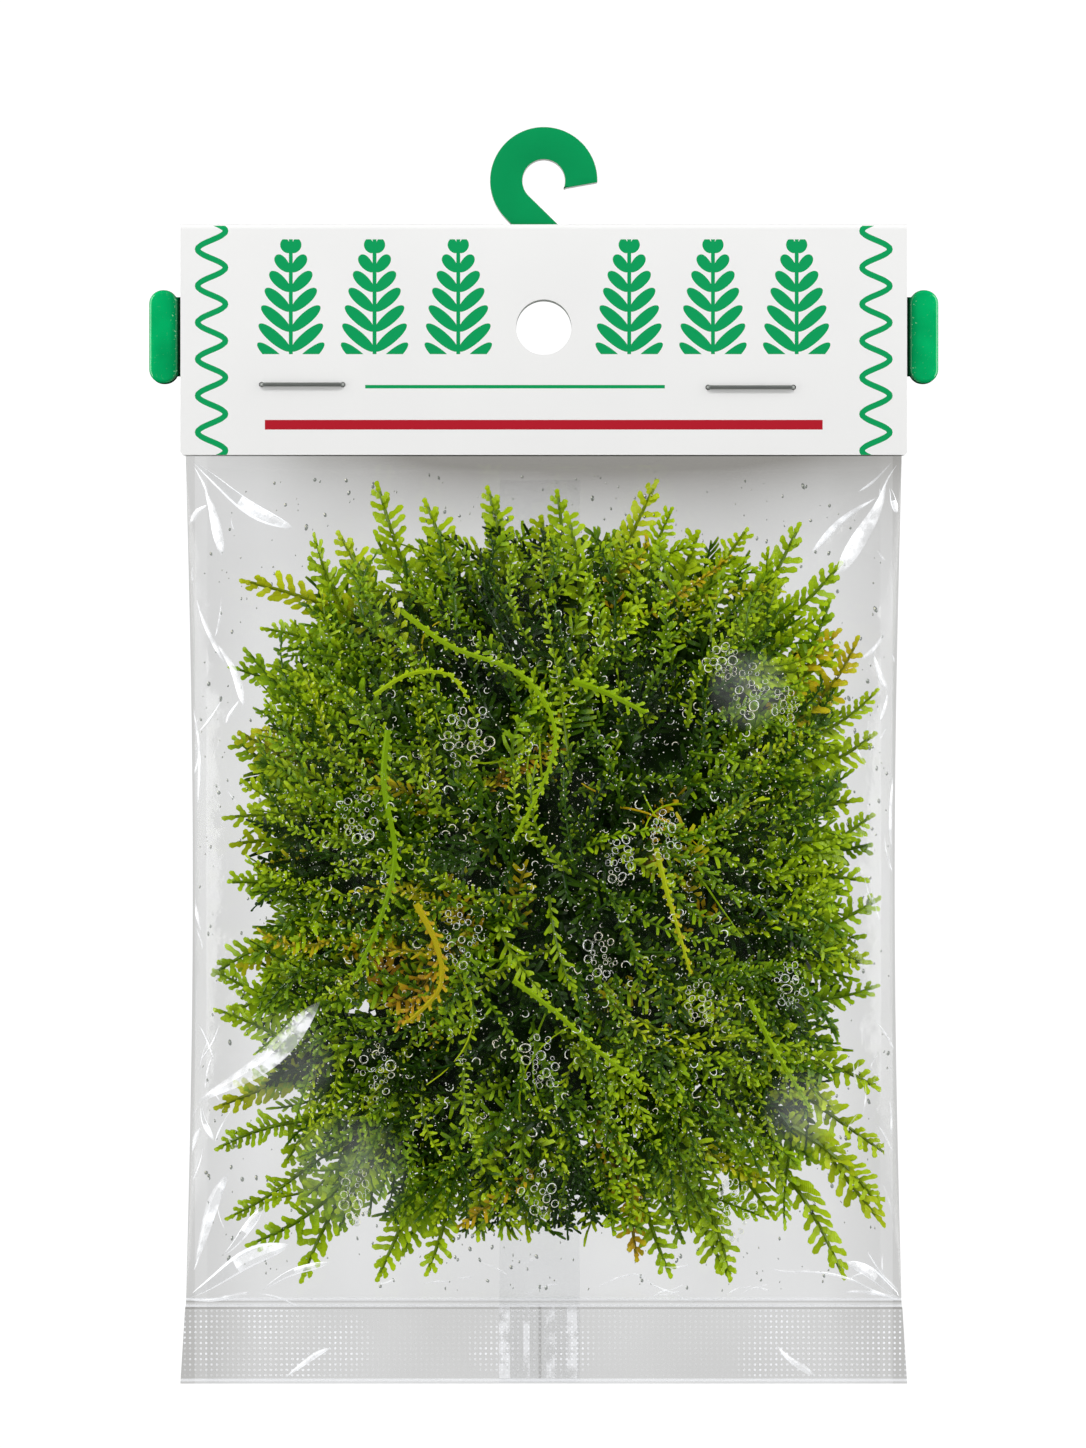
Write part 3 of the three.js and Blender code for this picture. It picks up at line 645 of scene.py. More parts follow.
def frame_rim(patterns, shade):
    """The rim fronds and leaders of the frame's tangle, at their own places."""
    draw = seeded(11)
    fronds = []

    def add(root, tip, share, width=None):
        slope = draw(-0.25, 0.25)
        line = bowed(root, tip, draw(-0.12, 0.12))
        half, roll = draw(3.2, 4.2), draw(-0.35, 0.35)
        pattern = patterns.choose(shade, "rich", line)
        hue = hue_at(shade, line, 0.6, 0.78)
        size = (width or half) / 3.5
        fronds.append(Frond(line, pattern, share, slope, size, roll * 0.6, RIM_CURL, hue))

    for i in range(RIM_FRONDS):
        angle = 2 * math.pi * (i + draw(-0.3, 0.3)) / RIM_FRONDS
        root = place_on(CORE, angle, 0.84)
        tip_angle = angle + draw(-0.1, 0.1)
        add(root, place_on(SPREAD, tip_angle, draw(0.87, 0.97)), (-0.45, 0.45, 0)[i % 3])
    cx, cz = MOSS_CENTRE
    for i, (root, tip) in enumerate(LEADERS):
        start = (cx + root[0] * 0.78, cz + root[1] * 0.82)
        end = (cx + tip[0], cz + tip[1])
        share = (-0.2, 0.2)[i % 2]
        add(start, end, share, 3.4)
        if i % 2:
            continue
        dx, dz = end[0] - start[0], end[1] - start[1]
        base = (start[0] + dx * 0.42, start[1] + dz * 0.42)
        lean = 0.8 if i % 4 else -0.8
        side_x = dx * math.cos(lean) - dz * math.sin(lean)
        side_z = dx * math.sin(lean) + dz * math.cos(lean)
        add(base, (base[0] + 0.46 * side_x, base[1] + 0.46 * side_z), share, 2.3)
    return fronds


def frame_faces(patterns, shade):
    """The fronds that lie over the frame's tangle, front and back."""
    draw = seeded(31)
    golden = math.pi * (3 - math.sqrt(5))
    fronds = []
    for i in range(FACE_FRONDS):
        side = 1 if i % 2 else -1
        share = 0.88 * math.sqrt((i // 2 + 0.2) / (FACE_FRONDS / 2))
        angle = golden * i + draw(-0.2, 0.2)
        root = place_on(CORE, angle, share)
        heading = angle + draw(-1.3, 1.3)
        tip = reached(root, heading, draw(15, 20))
        line = bowed(root, tip, draw(-0.15, 0.15))
        size = draw(4.2, 5.2) / 4.4
        pattern = patterns.choose(shade, "curly", line)
        hue = hue_at(shade, line, 0.42, 0.74)
        fronds.append(Frond(line, pattern, side * 0.36, side * 0.56, size, 0, RIM_CURL, hue, side))
    return fronds


def filling_rim(patterns, draw, count):
    """More fronds round the edge, at every depth, so that the rim is as thick as the real one."""
    fronds = []
    for i in range(count):
        angle = 2 * math.pi * (i + draw(-0.5, 0.5)) / count
        root = place_on(CORE, angle, draw(0.8, 1.05))
        tip_share = draw(0.66, 0.98)
        tip = place_on(SPREAD, angle + draw(-0.16, 0.16), tip_share)
        line = bowed(root, tip, draw(-0.2, 0.2))
        share = draw(-0.8, 0.8)
        pattern = patterns.choose(draw, "rich", line)
        slope, width, roll = draw(-0.3, 0.3), draw(0.7, 1.0), draw(-0.3, 0.3)
        hue, side = hue_at(draw, line, 0.5, 0.72), -1 if share < 0.2 else 1
        fronds.append(Frond(line, pattern, share, slope, width, roll, RIM_CURL, hue, side))
    return fronds


def edge_sprigs(patterns, draw):
    """The sprigs that stand out most clearly at the sides in the photograph."""
    fronds = []
    for px0, py0, px1, py1, hue in EDGE_SPRIGS:
        line = bowed(photo_place(px0, py0), photo_place(px1, py1), draw(-0.15, 0.15))
        pattern = patterns.choose(draw, "rich", line)
        share, slope, width, roll = draw(-0.7, -0.1), draw(-0.2, 0.2), draw(0.75, 1.0), draw(-0.3, 0.3)
        fronds.append(Frond(line, pattern, share, slope, width, roll, RIM_CURL, hue))
    return fronds


def within_spread(place, share):
    x, z = place[0] - MOSS_CENTRE[0], place[1] - MOSS_CENTRE[1]
    return math.hypot(x, z) < share * outline_radius(SPREAD, math.atan2(z, x))


def lying_fronds(patterns, draw, count, side, kind, depth, hues, lengths, turned, within=0.9):
    """Fronds strewn over one face of the tangle, most of them pointing outwards."""
    fronds = []
    for i in range(count):
        spot = math.sqrt((i + draw()) / count)
        angle = 2 * math.pi * draw()
        root = place_on(CORE, angle, 1.24 * within * spot)
        spread = turned * (1 - 0.55 * spot)
        heading = angle + draw(-spread, spread)
        length = draw(*lengths)
        while not within_spread(reached(root, heading, length), within) and length > 3:
            length *= 0.8
        line = bowed(root, reached(root, heading, length), draw(-0.4, 0.4))
        low = draw(*depth)
        pattern = patterns.choose(draw, kind, line)
        slope, width, roll = draw(0.08, 0.4), draw(0.65, 0.95), draw(-0.75, 0.75)
        curl, hue = draw(-0.05, 0.12), hue_at(draw, line, *hues)
        fronds.append(Frond(line, pattern, side * low, side * slope, width, roll, curl, hue, side))
    return fronds


def moss_heart(look):
    """The matted middle of the tangle, seen only between the fronds; its near-black colour is painted shade.
    """
    bm = bmesh.new()
    bmesh.ops.create_uvsphere(bm, u_segments=96, v_segments=40, radius=1)
    map_corners(bm, lambda co, u, v: (0.3 + 0.1 * co.x, 0.05 + 0.04 * co.y))
    mesh = mesh_from(bm, "heart")
    a, b, c = coords_of(mesh).T
    angle = np.arctan2(b, a)
    radius = np.array([outline_radius(CORE, turn) for turn in angle]) * np.hypot(a, b) ** 0.7 * 0.82
    x = MOSS_CENTRE[0] + radius * np.cos(angle)
    z = MOSS_CENTRE[1] + radius * np.sin(angle)
    lumps = 0.6 * np.sin(0.9 * x + 2 * np.sin(0.31 * z)) * np.sin(0.8 * z + 1.7 * np.sin(0.23 * x))
    ragged = 0.25 * np.sin(3.1 * x + z) * np.sin(2.7 * z - x)
    depth = 0.34 * moss_room(x, z) + lumps + ragged
    y = BAG_Y - np.sign(c) * depth * np.clip(np.abs(c) * 3, 0, 1)
    put_coords(mesh, np.column_stack([x, y, z]))
    finish_piece("moss_heart", mesh, [look], "moss", "moss_tangle", smooth=False)


def string_pattern(segments, radius):
    """A bare stem along +X from 0 to 1."""
    bm = stick(4, radius, radius / 2, 1, [k / segments for k in range(1, segments)])
    map_corners(bm, lambda co, u, v: (0.5 + 0.3 * co.x, 0.006 * math.atan2(co.y, co.z)))
    bmesh.ops.triangulate(bm, faces=bm.faces)
    return mesh_from(bm, "string")


def strings(draw, count, pattern):
    """Thin bare stems that wander over the front and back of the tangle."""
    fronds = []
    for i in range(count):
        side = 1 if i % 4 == 0 else -1
        start = 2 * math.pi * draw()
        root = place_on(CORE, start, 0.95 * math.sqrt(draw()))
        tip = place_on(CORE, start + draw(-0.8, 0.8), 1.02 * math.sqrt(draw()))
        line = bowed(root, tip, draw(-0.7, 0.7))
        hue, depth = draw(0.55, 0.88), draw(0.75, 0.95)
        fronds.append(Frond(line, pattern, side * depth, side * 0.1, 1, 0, 0, hue, side))
    return fronds


def spline_point(places, t):
    """A point and heading of a smooth line through places, t from 0 to 1."""
    parts = len(places) - 1
    k = min(int(t * parts), parts - 1)
    s = t * parts - k
    p1, p2 = Vector(places[k]), Vector(places[k + 1])
    p0 = Vector(places[k - 1]) if k else p1
    p3 = Vector(places[k + 2]) if k + 2 <= parts else p2
    a = 2 * p1
    b = p2 - p0
    c = 2 * p0 - 5 * p1 + 4 * p2 - p3
    d = -p0 + 3 * p1 - 3 * p2 + p3
    point = 0.5 * (a + b * s + c * s * s + d * s**3)
    heading = 0.5 * (b + 2 * c * s + 3 * d * s * s)
    return point, heading.normalized()


def long_stems(name, stems, side, leaflet, look):
    """Long shoots pressed against the film: a tapering stalk with small leaves all along it."""
    draw = seeded(47 + side)
    bm = bmesh.new()
    bm.loops.layers.uv.new(MAP)
    off = Vector((0, side, 0))
    for leaf, hue, places in stems.values():
        length = sum(math.dist(a, b) for a, b in zip(places, places[1:]))
        steps = int(length / STALK_STEP)
        rings = []
        for i in range(steps + 1):
            t = i / steps
            at, along = stem_place(places, t, side)
            radius = 0.26 + 0.2 * leaf - 0.22 * t
            made = bmesh.ops.create_circle(bm, segments=5, radius=radius)["verts"]
            turn = along.to_track_quat("Z", "Y").to_matrix().to_4x4()
            bmesh.ops.transform(bm, matrix=at @ turn, verts=made)
            rings.append({edge for vert in made for edge in vert.link_edges})
        stalk = []
        for ring, after in zip(rings, rings[1:]):
            stalk += bmesh.ops.bridge_loops(bm, edges=list(ring | after))["faces"]
        ends = [edge for edge in bm.edges if edge.is_boundary]
        stalk += bmesh.ops.holes_fill(bm, edges=ends)["faces"]
        low = hue - 0.04
        map_corners(bm, lambda co, u, v: (0.52 + 0.004 * (co.x % 1), low + 0.004 * (co.y % 1)), stalk)
        count = int(length / LEAF_STEP)
        for i in range(count):
            t = (i + 0.5) / count
            at, along = stem_place(places, t, side)
            flank = (1, -1, 0)[i % 3] or draw(-0.4, 0.4)
            size = leaf * draw(0.8, 1.3) * min(1, 0.6 + 3 * t) * min(1, 0.35 + 4 * (1 - t))
            lean = flank * math.radians(draw(34, 62))
            tone = hue + draw(-0.03, 0.03)
            basis = Matrix((along, off.cross(along), off)).transposed().to_4x4()
            turn = basis @ Matrix.Rotation(lean, 4, "Z")
            matrix = at @ turn @ Matrix.Diagonal((size, 0.6, 0.6, 1))
            add_copy(bm, leaflet, matrix, lambda co, u, v: (0.45 + 0.45 * u, tone + 0.004 * v))
    mesh = mesh_from(bm, name)
    put_coords(mesh, coords_of(mesh))
    finish_piece(name, mesh, [look], "stem", *stems, smooth=False)


def stem_place(places, t, side):
    """Where a long stem lies just under the film, as a matrix, and its heading."""
    point, heading = spline_point(places, t)
    x, z = MOSS_CENTRE[0] + point.x, MOSS_CENTRE[1] + point.y
    at = (x, BAG_Y + side * (inside_at(x, z) - 0.75), z)
    return Matrix.Translation(at), Vector((heading.x, 0, heading.y))


def moss_look(settings):
    """Leaves: the map's first number runs from old stalk to fresh tip, its second is the frond's hue."""
    look = Look("moss_leaves")
    u, v = look.map_place()
    stops = [
        (0.0, (0.004, 0.009, 0.001)),
        (0.2, (0.014, 0.04, 0.002)),
        (0.38, (0.062, 0.152, 0.002)),
        (0.58, settings.leaf_colour),
        (0.74, (0.42, 0.57, 0.006)),
        (0.86, (0.55, 0.36, 0.008)),
        (0.96, (0.42, 0.17, 0.015)),
    ]
    leaf = look.ramp(v, stops)
    dark = look.mix(0.6, leaf, (0.008, 0.035, 0.001))
    aged = look.mix(look.ramp(u, [(0.2, (0, 0, 0)), (0.6, (1, 1, 1))]), dark, leaf)
    tip = look.mix((u - 0.72) * 1.6 * (v > 0.3), aged, settings.tip_colour)
    stalk = look.mix(0.62, leaf, (0.02, 0.075, 0.004))
    colour = look.mix(u < 0.2, tip, stalk)
    # Painted glow: the leaves glow a little, most towards their tips, as if lit through
    painted_glow = look.mix(((u - 0.25) * 1.8).at_most(1.0), (0, 0, 0), colour)
    normal = look.bump((u * 170).of("SINE") * 0.5 + 0.5, 0.05, 0.5)
    shine = dict(Specular_IOR_Level=0.25, Coat_Weight=0.12, Coat_Roughness=0.06)
    light = dict(Emission_Color=painted_glow, Emission_Strength=0.2)
    return look.solid(Base_Color=colour, Roughness=0.24, Normal=normal, **shine, **light)


class MossSettings(bpy.types.PropertyGroup):
    """Sizes and colours of the moss."""

    leaf_colour: FloatVectorProperty(
        name="Leaf", description="Colour of a middling leaf", subtype="COLOR", default=(0.225, 0.39, 0.003)
    )
    tip_colour: FloatVectorProperty(
        name="Tips", description="Colour of the freshest tips", subtype="COLOR", default=(0.54, 0.7, 0.012)
    )
    rim_fronds: IntProperty(name="Rim fronds", description="Extra fronds round the edge", default=96)
    face_fronds: IntProperty(name="Face fronds", description="Bright fronds on the front", default=90)
    ropes: IntProperty(name="Ropes", description="Thin wandering shoots on the front", default=330)
    strands: IntProperty(name="Strands", description="Bright shoots close to the film", default=64)
    # The filling's duller hues and the deep fronds' dark ones are painted shade
    fill_fronds: IntProperty(name="Filling", description="Duller fronds on each face", default=260)
    deep_fronds: IntProperty(name="Deep fronds", description="Dark fronds inside", default=330)


class MossOperator(bpy.types.Operator):
    """Grow the tangle of fronds and the long stems"""

    bl_idname = "moss_pack.moss"
    bl_label = "Moss"

    def execute(self, context):
        settings = context.scene.moss_pack_moss
        look = moss_look(settings)
        patterns = Patterns()
        shade, draw = seeded(83), seeded(101)
        rim = frame_rim(patterns, shade) + filling_rim(patterns, shade, settings.rim_fronds)
        rim += edge_sprigs(patterns, seeded(131))
        faces = frame_faces(patterns, shade)
        half = len(rim) // 2
        plant("moss_rim_a", rim[:half], look)
        plant("moss_rim_b", rim[half:], look)
        fill, deep = settings.fill_fronds, settings.deep_fronds
        # The filling and the inside layers take dark hues: painted shade deep in the tangle
        # Each layer's count, side, kind, depths, hues, lengths, how far it turns and its reach
        layers = {
            "moss_front": (settings.face_fronds, -1, "curly", (0.55, 0.85), (0.26, 0.72), (9, 18), 1.9),
            "moss_ropes": (settings.ropes, -1, "rope", (0.45, 0.95), (0.24, 0.76), (10, 24), 1.6),
            "moss_strands": (settings.strands, -1, "rope", (0.66, 0.86), (0.54, 0.72), (14, 26), 1.4),
            "moss_front_fill": (fill, -1, "plain", (0.2, 0.6), (0.1, 0.36), (7, 13), 3.1, 0.8),
            "moss_back": (fill + 120, 1, "plain", (0.35, 0.85), (0.3, 0.7), (8, 16), 2.6),
            "moss_inside": (deep, -1, "plain", (-0.4, 0.4), (0.04, 0.24), (10, 16), 3.1, 0.76),
        }
        for name, layer in layers.items():
            own = seeded(151) if name == "moss_strands" else draw
            fronds = lying_fronds(patterns, own, *layer)
            if name == "moss_front":
                fronds = [frond for frond in faces if frond.side < 0] + fronds
            if name == "moss_back":
                fronds += [frond for frond in faces if frond.side > 0]
            plant(name, fronds, look)
        plant("moss_strings", strings(draw, 16, string_pattern(10, 0.16)), look)
        moss_heart(look)
        toothed = leaflet_mesh(2, 0.5, 0.34)
        long_stems("long_stems_front", FRONT_STEMS, -1, toothed, look)
        long_stems("long_stems_back", BACK_STEMS, 1, toothed, look)
        return {"FINISHED"}


# Film


def crease_field(x, z, draw):
    """How far creases move the film in or out at each place, in millimetres."""
    half = NECK_HALF_WIDTH
    top, bottom = BELLY_TOP, SEAL_TOP
    creases = []
    # Upright creases along the card and along the weld, leaning away from the middle
    for count, level, way, near, far, longest in ((30, top, -1, 3, 14, 16), (52, bottom, 1, 2, 13, 17)):
        for _ in range(count):
            cx = draw(-half, half)
            lean = draw(-0.25, 0.25) + way * 0.5 * cx / half
            cz = level + way * draw(near, far)
            creases.append((cx, cz, math.pi / 2 + lean, draw(5, longest), 0.9, 0.5))
    # Level ones at the sides
    for side in (-1, 1):
        for _ in range(40):
            cz, reach, lean = draw(bottom + 4, top - 4), draw(3, 13), draw(-0.6, 0.6)
            creases.append((side * (half - reach), cz, lean, draw(4, 11), 0.85, 0.55))
    # Long ones out of the corners
    for level, way in ((top, -1), (bottom, 1)):
        for side in (-1, 1):
            for _ in range(11):
                angle = math.atan2(way * draw(0.5, 1.6), -side)
                cx, cz = reached((side * half, level), angle, draw(9, 26))
                creases.append((cx, cz, angle, draw(10, 22), 1.2, 0.8))
    # Faint ones anywhere
    for _ in range(40):
        cx, cz = draw(-0.8, 0.8) * half, draw(bottom + 15, top - 15)
        creases.append((cx, cz, draw(0, math.pi), draw(8, 20), 1.4, 0.22))
    move = np.zeros_like(x)
    for cx, cz, angle, length, width, height in creases:
        run = (x - cx) * math.cos(angle) + (z - cz) * math.sin(angle)
        off = (z - cz) * math.cos(angle) - (x - cx) * math.sin(angle)
        sharp = np.exp(-np.abs(off) / (width * draw(0.6, 1.5)))
        window = np.clip(1 - (run / length) ** 2, 0, 1)
        sign = -1 if draw() < 0.45 else 1
        move += sign * height * draw(0.2, 0.7) * sharp * window
    return np.clip(move, -0.6, 0.6)


def film_mesh(around, rows):
    """The bag's film as one tube, flattened where it is welded."""
    mesh = grid(around, rows, lambda co, u, v: (co.x * 0.49 + 0.5, co.y * 0.49 + 0.5))
    a, b, _ = coords_of(mesh).T
    turn = (a + 1) * np.pi
    z = BAG_HIGH[2] + (BAG_LOW[2] - BAG_HIGH[2]) * (1 - b) / 2
    x = -half_width_at(z) * np.cos(turn)
    side = np.where(turn < np.pi, -1.0, 1.0)
    depth = belly_depth(x, z)
    for way, seed in ((-1, 3), (1, BACK_CREASES)):
        here = side == way
        depth[here] += crease_field(x[here], z[here], seeded(seed)) * np.clip(depth[here] / 2.2, 0, 1)
    weld = np.where(z > BELLY_TOP, 0.3, 0.04)
    depth = np.maximum(depth, weld * np.sqrt(np.clip(np.sin(turn) * side * -1, 0, 1)))
    bead = np.exp(-(((z - (SEAL_TOP + 0.9)) / 0.5) ** 2))
    y = BAG_Y + side * depth - 0.35 * bead * np.abs(np.sin(turn))
    put_coords(mesh, np.column_stack([x, y, z]))
    bm = bmesh.new()
    bm.from_mesh(mesh)
    bmesh.ops.remove_doubles(bm, verts=bm.verts, dist=0.002 * MM)
    hole = Vector((0, 0, HANG_HOLE_Z)) * MM
    gone = []
    for face in bm.faces:
        away = face.calc_center_median() - hole
        if math.hypot(away.x, away.z) < (HANG_HOLE_R + 1) * MM:
            gone.append(face)
    bmesh.ops.delete(bm, geom=gone, context="FACES")
    bmesh.ops.recalc_face_normals(bm, faces=bm.faces)
    return mesh_from(bm, "film_bag_film")


# The weld's studs, the seed of the back wall's creases and the weld's edges, where painted highlight lines
# run with painted shade lines just below
STUD_PITCH = 0.78
BACK_CREASES = 4
WELD_LINES = (SEAL_TOP + 1.05, SEAL_TOP + 0.1, BAG_LOW[2] + 0.5)

# Where the studs catch the light, as places in the photograph and radii in millimetres
LIT_STUDS = [
    (200, 1345, 5), (262, 1322, 4), (342, 1345, 5), (300, 1366, 3), (492, 1350, 4), (572, 1350, 4),
    (782, 1322, 5), (768, 1360, 5), (886, 1345, 5),
]

# Gleams down the bottom weld where the back lap is pressed in: middles and half widths
LAP_GLEAMS = [(-5.7, 0.8), (-2.5, 0.45), (1.0, 0.6), (4.1, 0.7)]

# The dark line down the lap, the height of the studs' band, and where the film starts to mirror less
LAP_LINE_X = -0.55
STUDS_HEIGHT = 10.4
CALM_X = 48.8

# Where a painted whitish reflection lies on the front of the film, as places in the photograph and radii in
# millimetres
PAINTED_SHEEN_PATCHES = [(350, 1173, 9), (282, 1063, 8), (747, 690, 6), (801, 1109, 6)]

# Pinched folds, as places in the photograph: start, end, half width and where the ridge runs
# Their white is painted highlight: a rim on the hollow ones, filled on the others
HOLLOW_FOLDS = [
    (192, 461, 293, 529, 1.5, 0.4), (890, 487, 897, 513, 0.7, 0.2), (200, 1106, 213, 1141, 0.6, 0.2),
    (187, 1300, 289, 1244, 2.0, -0.3), (222, 1256, 262, 1206, 1.0, 0.3),
    (262, 1290, 330, 1262, 0.8, 0.3), (905, 1302, 846, 1262, 1.2, 0.3),
]
PAINTED_HIGHLIGHT_FOLDS = [
    (203, 490, 221, 556, 1.1, 0.2), (206, 504, 189, 522, 0.7, 0.2), (192, 464, 208, 500, 0.25, 0.1),
    (196, 598, 226, 664, 0.45, -0.2), (218, 644, 245, 706, 0.8, -0.2), (240, 700, 226, 724, 0.4, 0.2),
    (886, 484, 836, 574, 1.7, -0.3), (878, 496, 810, 554, 0.7, 0.3), (893, 461, 858, 492, 0.28, 0.2),
    (899, 463, 879, 502, 0.22, 0.2), (886, 632, 862, 660, 0.5, 0.2), (874, 654, 889, 690, 0.6, -0.3),
    (888, 690, 880, 722, 0.4, 0.2), (198, 1104, 322, 1002, 2.3, 0.2), (196, 1266, 228, 1174, 1.3, 0.3),
    (188, 1302, 250, 1293, 0.5, 0.2), (797, 1272, 864, 1285, 0.3, 0.2),
    (848, 1277, 901, 1302, 0.35, 0.2), (842, 1294, 901, 1300, 0.4, 0.2),
    (867, 1251, 901, 1294, 0.3, 0.2), (284, 1381, 330, 1350, 0.6, 0.2),
    (778, 1348, 816, 1378, 0.7, 0.2), (902, 900, 893, 1012, 0.4, 0.3), (901, 748, 893, 852, 0.35, -0.2),
    (190, 700, 197, 806, 0.35, 0.3), (192, 850, 201, 934, 0.4, -0.3), (187, 1165, 200, 1128, 0.5, -0.3),
]
FINE_FOLDS = 70
FOLD_STEPS = 14
FOLD_SLOPE = 0.5


def fold_rows():
    """Every pinched fold as start, end, half width and ridge: hollow, filled with painted highlight and then
    fine ones.
    """
    draw = seeded(71)
    fine = []
    for k in range(FINE_FOLDS):
        side = -1 if draw() < 0.5 else 1
        px = PHOTO_X0 + side * (352 - 50 * draw() ** 2.2)
        py = draw(480, 1290)
        if k % 3 == 0:
            px, py = draw(200, 890), 1300 - 38 * draw() ** 2
        angle = draw(0.9, 2.2) if k % 3 else draw(-0.5, 0.5)
        end = reached((px, py), angle, draw(10, 46))
        fine.append((px, py, *end, draw(0.1, 0.26), 0.2))
    return HOLLOW_FOLDS + PAINTED_HIGHLIGHT_FOLDS + fine


def folds_mesh():
    """The film's pinched folds: narrow tents with one sharp ridge, lying on the front wall."""
    rows = fold_rows()
    strip = grid(FOLD_STEPS, 2, lambda co, u, v: (co.x * 0.49 + 0.5, (co.y * 0.45 + 0.5) / len(rows)))
    a, c, _ = coords_of(strip).T
    s = (a + 1) / 2
    lens = (s**0.7) * (1 - s**5) + 0.03
    bm = bmesh.new()
    laid_out = []
    for k, (px0, py0, px1, py1, half, ridge) in enumerate(rows):
        bm.from_mesh(strip)
        x0, z0 = photo_place(px0, py0)
        x1, z1 = photo_place(px1, py1)
        dx, dz = x1 - x0, z1 - z0
        size = math.hypot(dx, dz)
        bend = 0.05 * size * np.sin(np.pi * s) * (1 if k % 2 else -1) + 0.12 * half * np.sin(7 * s + k)
        across = np.where(np.abs(c) < 0.01, ridge, c) * half * lens + bend
        x = x0 + dx * s - dz / size * across
        z = z0 + dz * s + dx / size * across
        edge = half_width_at(z) - 0.4
        x = np.clip(x, -edge, edge)
        z = np.clip(z, BAG_LOW[2] + 0.3, BELLY_TOP)
        rise = np.where(np.abs(c) < 0.01, half * lens * (1 - abs(ridge)) * FOLD_SLOPE, -0.06)
        laid_out.append(np.column_stack([x, BAG_Y - belly_depth(x, z) - 0.12 - rise, z]))
    mesh = mesh_from(bm, "folds")
    put_coords(mesh, np.vstack(laid_out))
    raise_map(mesh, np.repeat(np.arange(len(rows)) / len(rows), len(strip.loops)))
    return mesh


def fin_mesh():
    """The lap down the back, a strip that follows the film a little way off it."""
    mesh = grid(12, 150, lambda co, u, v: (co.x * 0.1 + 0.5, co.y * 0.49 + 0.5))
    a, b, _ = coords_of(mesh).T
    x = FIN_X - a * FIN_HALF
    top, bottom = BELLY_TOP - 3, BAG_LOW[2] + 0.1
    z = bottom + (top - bottom) * (b + 1) / 2
    depth = belly_depth(x, z)
    depth += crease_field(x, z, seeded(BACK_CREASES)) * np.clip(depth / 2.2, 0, 1)
    y = BAG_Y + np.maximum(depth, 0.05) + 0.22 + 0.12 * (a < 0.1)
    put_coords(mesh, np.column_stack([x, y, z]))
    return mesh


def film_look(name, settings, wall_share=None):
    """Clear film: it lets light through, greys it a little, more where painted shade lies, and mirrors the
    lamps. A glowing white adds a little haze and paints highlights and reflections.
    """
    look = Look(name)
    x, y, z = look.place()
    in_seal = (z < SEAL_TOP) * (z > SEAL_TOP - STUDS_HEIGHT)
    dots = wave_of(x, STUD_PITCH) * wave_of(z, STUD_PITCH)
    pressed = (look.noise(0.035, 2.0) - 0.42).at_least(0.0) * 4.0
    crinkle = look.noise(0.2) + look.noise(1.0, 2.0) * 0.12
    normal = look.bump(crinkle + in_seal * dots * pressed * 0.6, 0.5, 0.5)
    rough = look.noise(0.9) * 0.1 + 0.13
    gloss = look.gloss(Roughness=rough + in_seal * 0.1, Normal=normal)
    share = shade_share(look, x, y, z, in_seal) if wall_share is None else wall_share
    clear = look.blend(share, look.clear(settings.film_colour), look.clear(settings.shade_colour))
    # The white glows: a little haze, and painted highlights and painted reflections
    light = dict(Emission_Color=(0.95, 0.96, 1.0), Emission_Strength=0.3)
    haze_and_painted_white = look.principled(Base_Color=(0.82, 0.83, 0.85), Roughness=0.4, **light)
    cloudy = (look.noise(0.12, 2.0) - 0.4).at_least(0.0) * 0.015
    # Painted highlights: the weld's lines, the studs and the lap's gleams; painted reflection: the sheen
    # patches
    beads = sum(abs(z - level) < 0.17 for level in WELD_LINES)
    ragged = ((look.noise(0.45) - 0.4) * 6.0).clipped()
    lit = nearness(x, z, LIT_STUDS).at_most(1.0) * (ragged * 0.7 + 0.3)
    studs = (dots > 0.3) * in_seal * (pressed * 0.3 + lit * 0.7 + 0.04)
    gleams = sum(abs(x - middle) < half for middle, half in LAP_GLEAMS)
    front = y < BAG_Y
    painted_sheen = nearness(x, z, PAINTED_SHEEN_PATCHES) * look.noise(0.25) * 0.16 * front
    white = cloudy + beads * 0.4 + studs + gleams * in_seal * ragged * front * 0.5 + painted_sheen
    body = look.blend(white.at_most(0.8), clear, haze_and_painted_white)
    mirror = look.node("ShaderNodeFresnel", values={"IOR": 1.5, "Normal": normal})
    calm = 1.0 - (abs(x) > CALM_X) * 0.65
    bright = (Amount(look, mirror.outputs[0]) * 1.1).at_most(0.08) * calm
    return look.surface(look.blend(bright, body, gloss))


def shade_share(look, x, y, z, in_seal):
    """How shaded the film looks: under the card, at the shoulders and along the weld."""
    right = (x - 8.0) * (1 / 58)
    fading = ((z - BELLY_TOP) * 0.13).at_most(0.0).of("EXPONENT")
    under_card = fading * (1.0 - right * right).at_least(0.0)
    cloud = look.noise(0.05, 2.0) * 0.2 - 0.1
    share = (y > BAG_Y) * (0.22 + in_seal * 0.16 + under_card * 0.95 + cloud).at_most(1.0) + 0.04
    shoulder = ((abs(x) - 41.0) * 0.1).clipped()
    share = share + shoulder * 0.1 + (abs(x) > NECK_HALF_WIDTH - 1.3) * 0.06
    lap_line = in_seal * (abs(x - LAP_LINE_X) < 0.2)
    below = sum(abs(z - (level - 0.34)) < 0.14 for level in WELD_LINES[:2])
    return (share + (lap_line + below) * 0.16).at_most(1.0)


def nearness(x, z, patches):
    """How near a place is to the middles of patches, from 0 outside them to 1."""
    shares = []
    for px, py, radius in patches:
        cx, cz = photo_place(px, py)
        away = ((x - cx) * (x - cx) + (z - cz) * (z - cz)) * (1 / radius**2)
        shares.append((1.0 - away).at_least(0.0))
    return sum(shares)


def wave_of(place, pitch):
    """Humps along one way: above nothing for half of each pitch."""
    return (place * (2 * math.pi / pitch)).of("SINE").at_least(0.0)


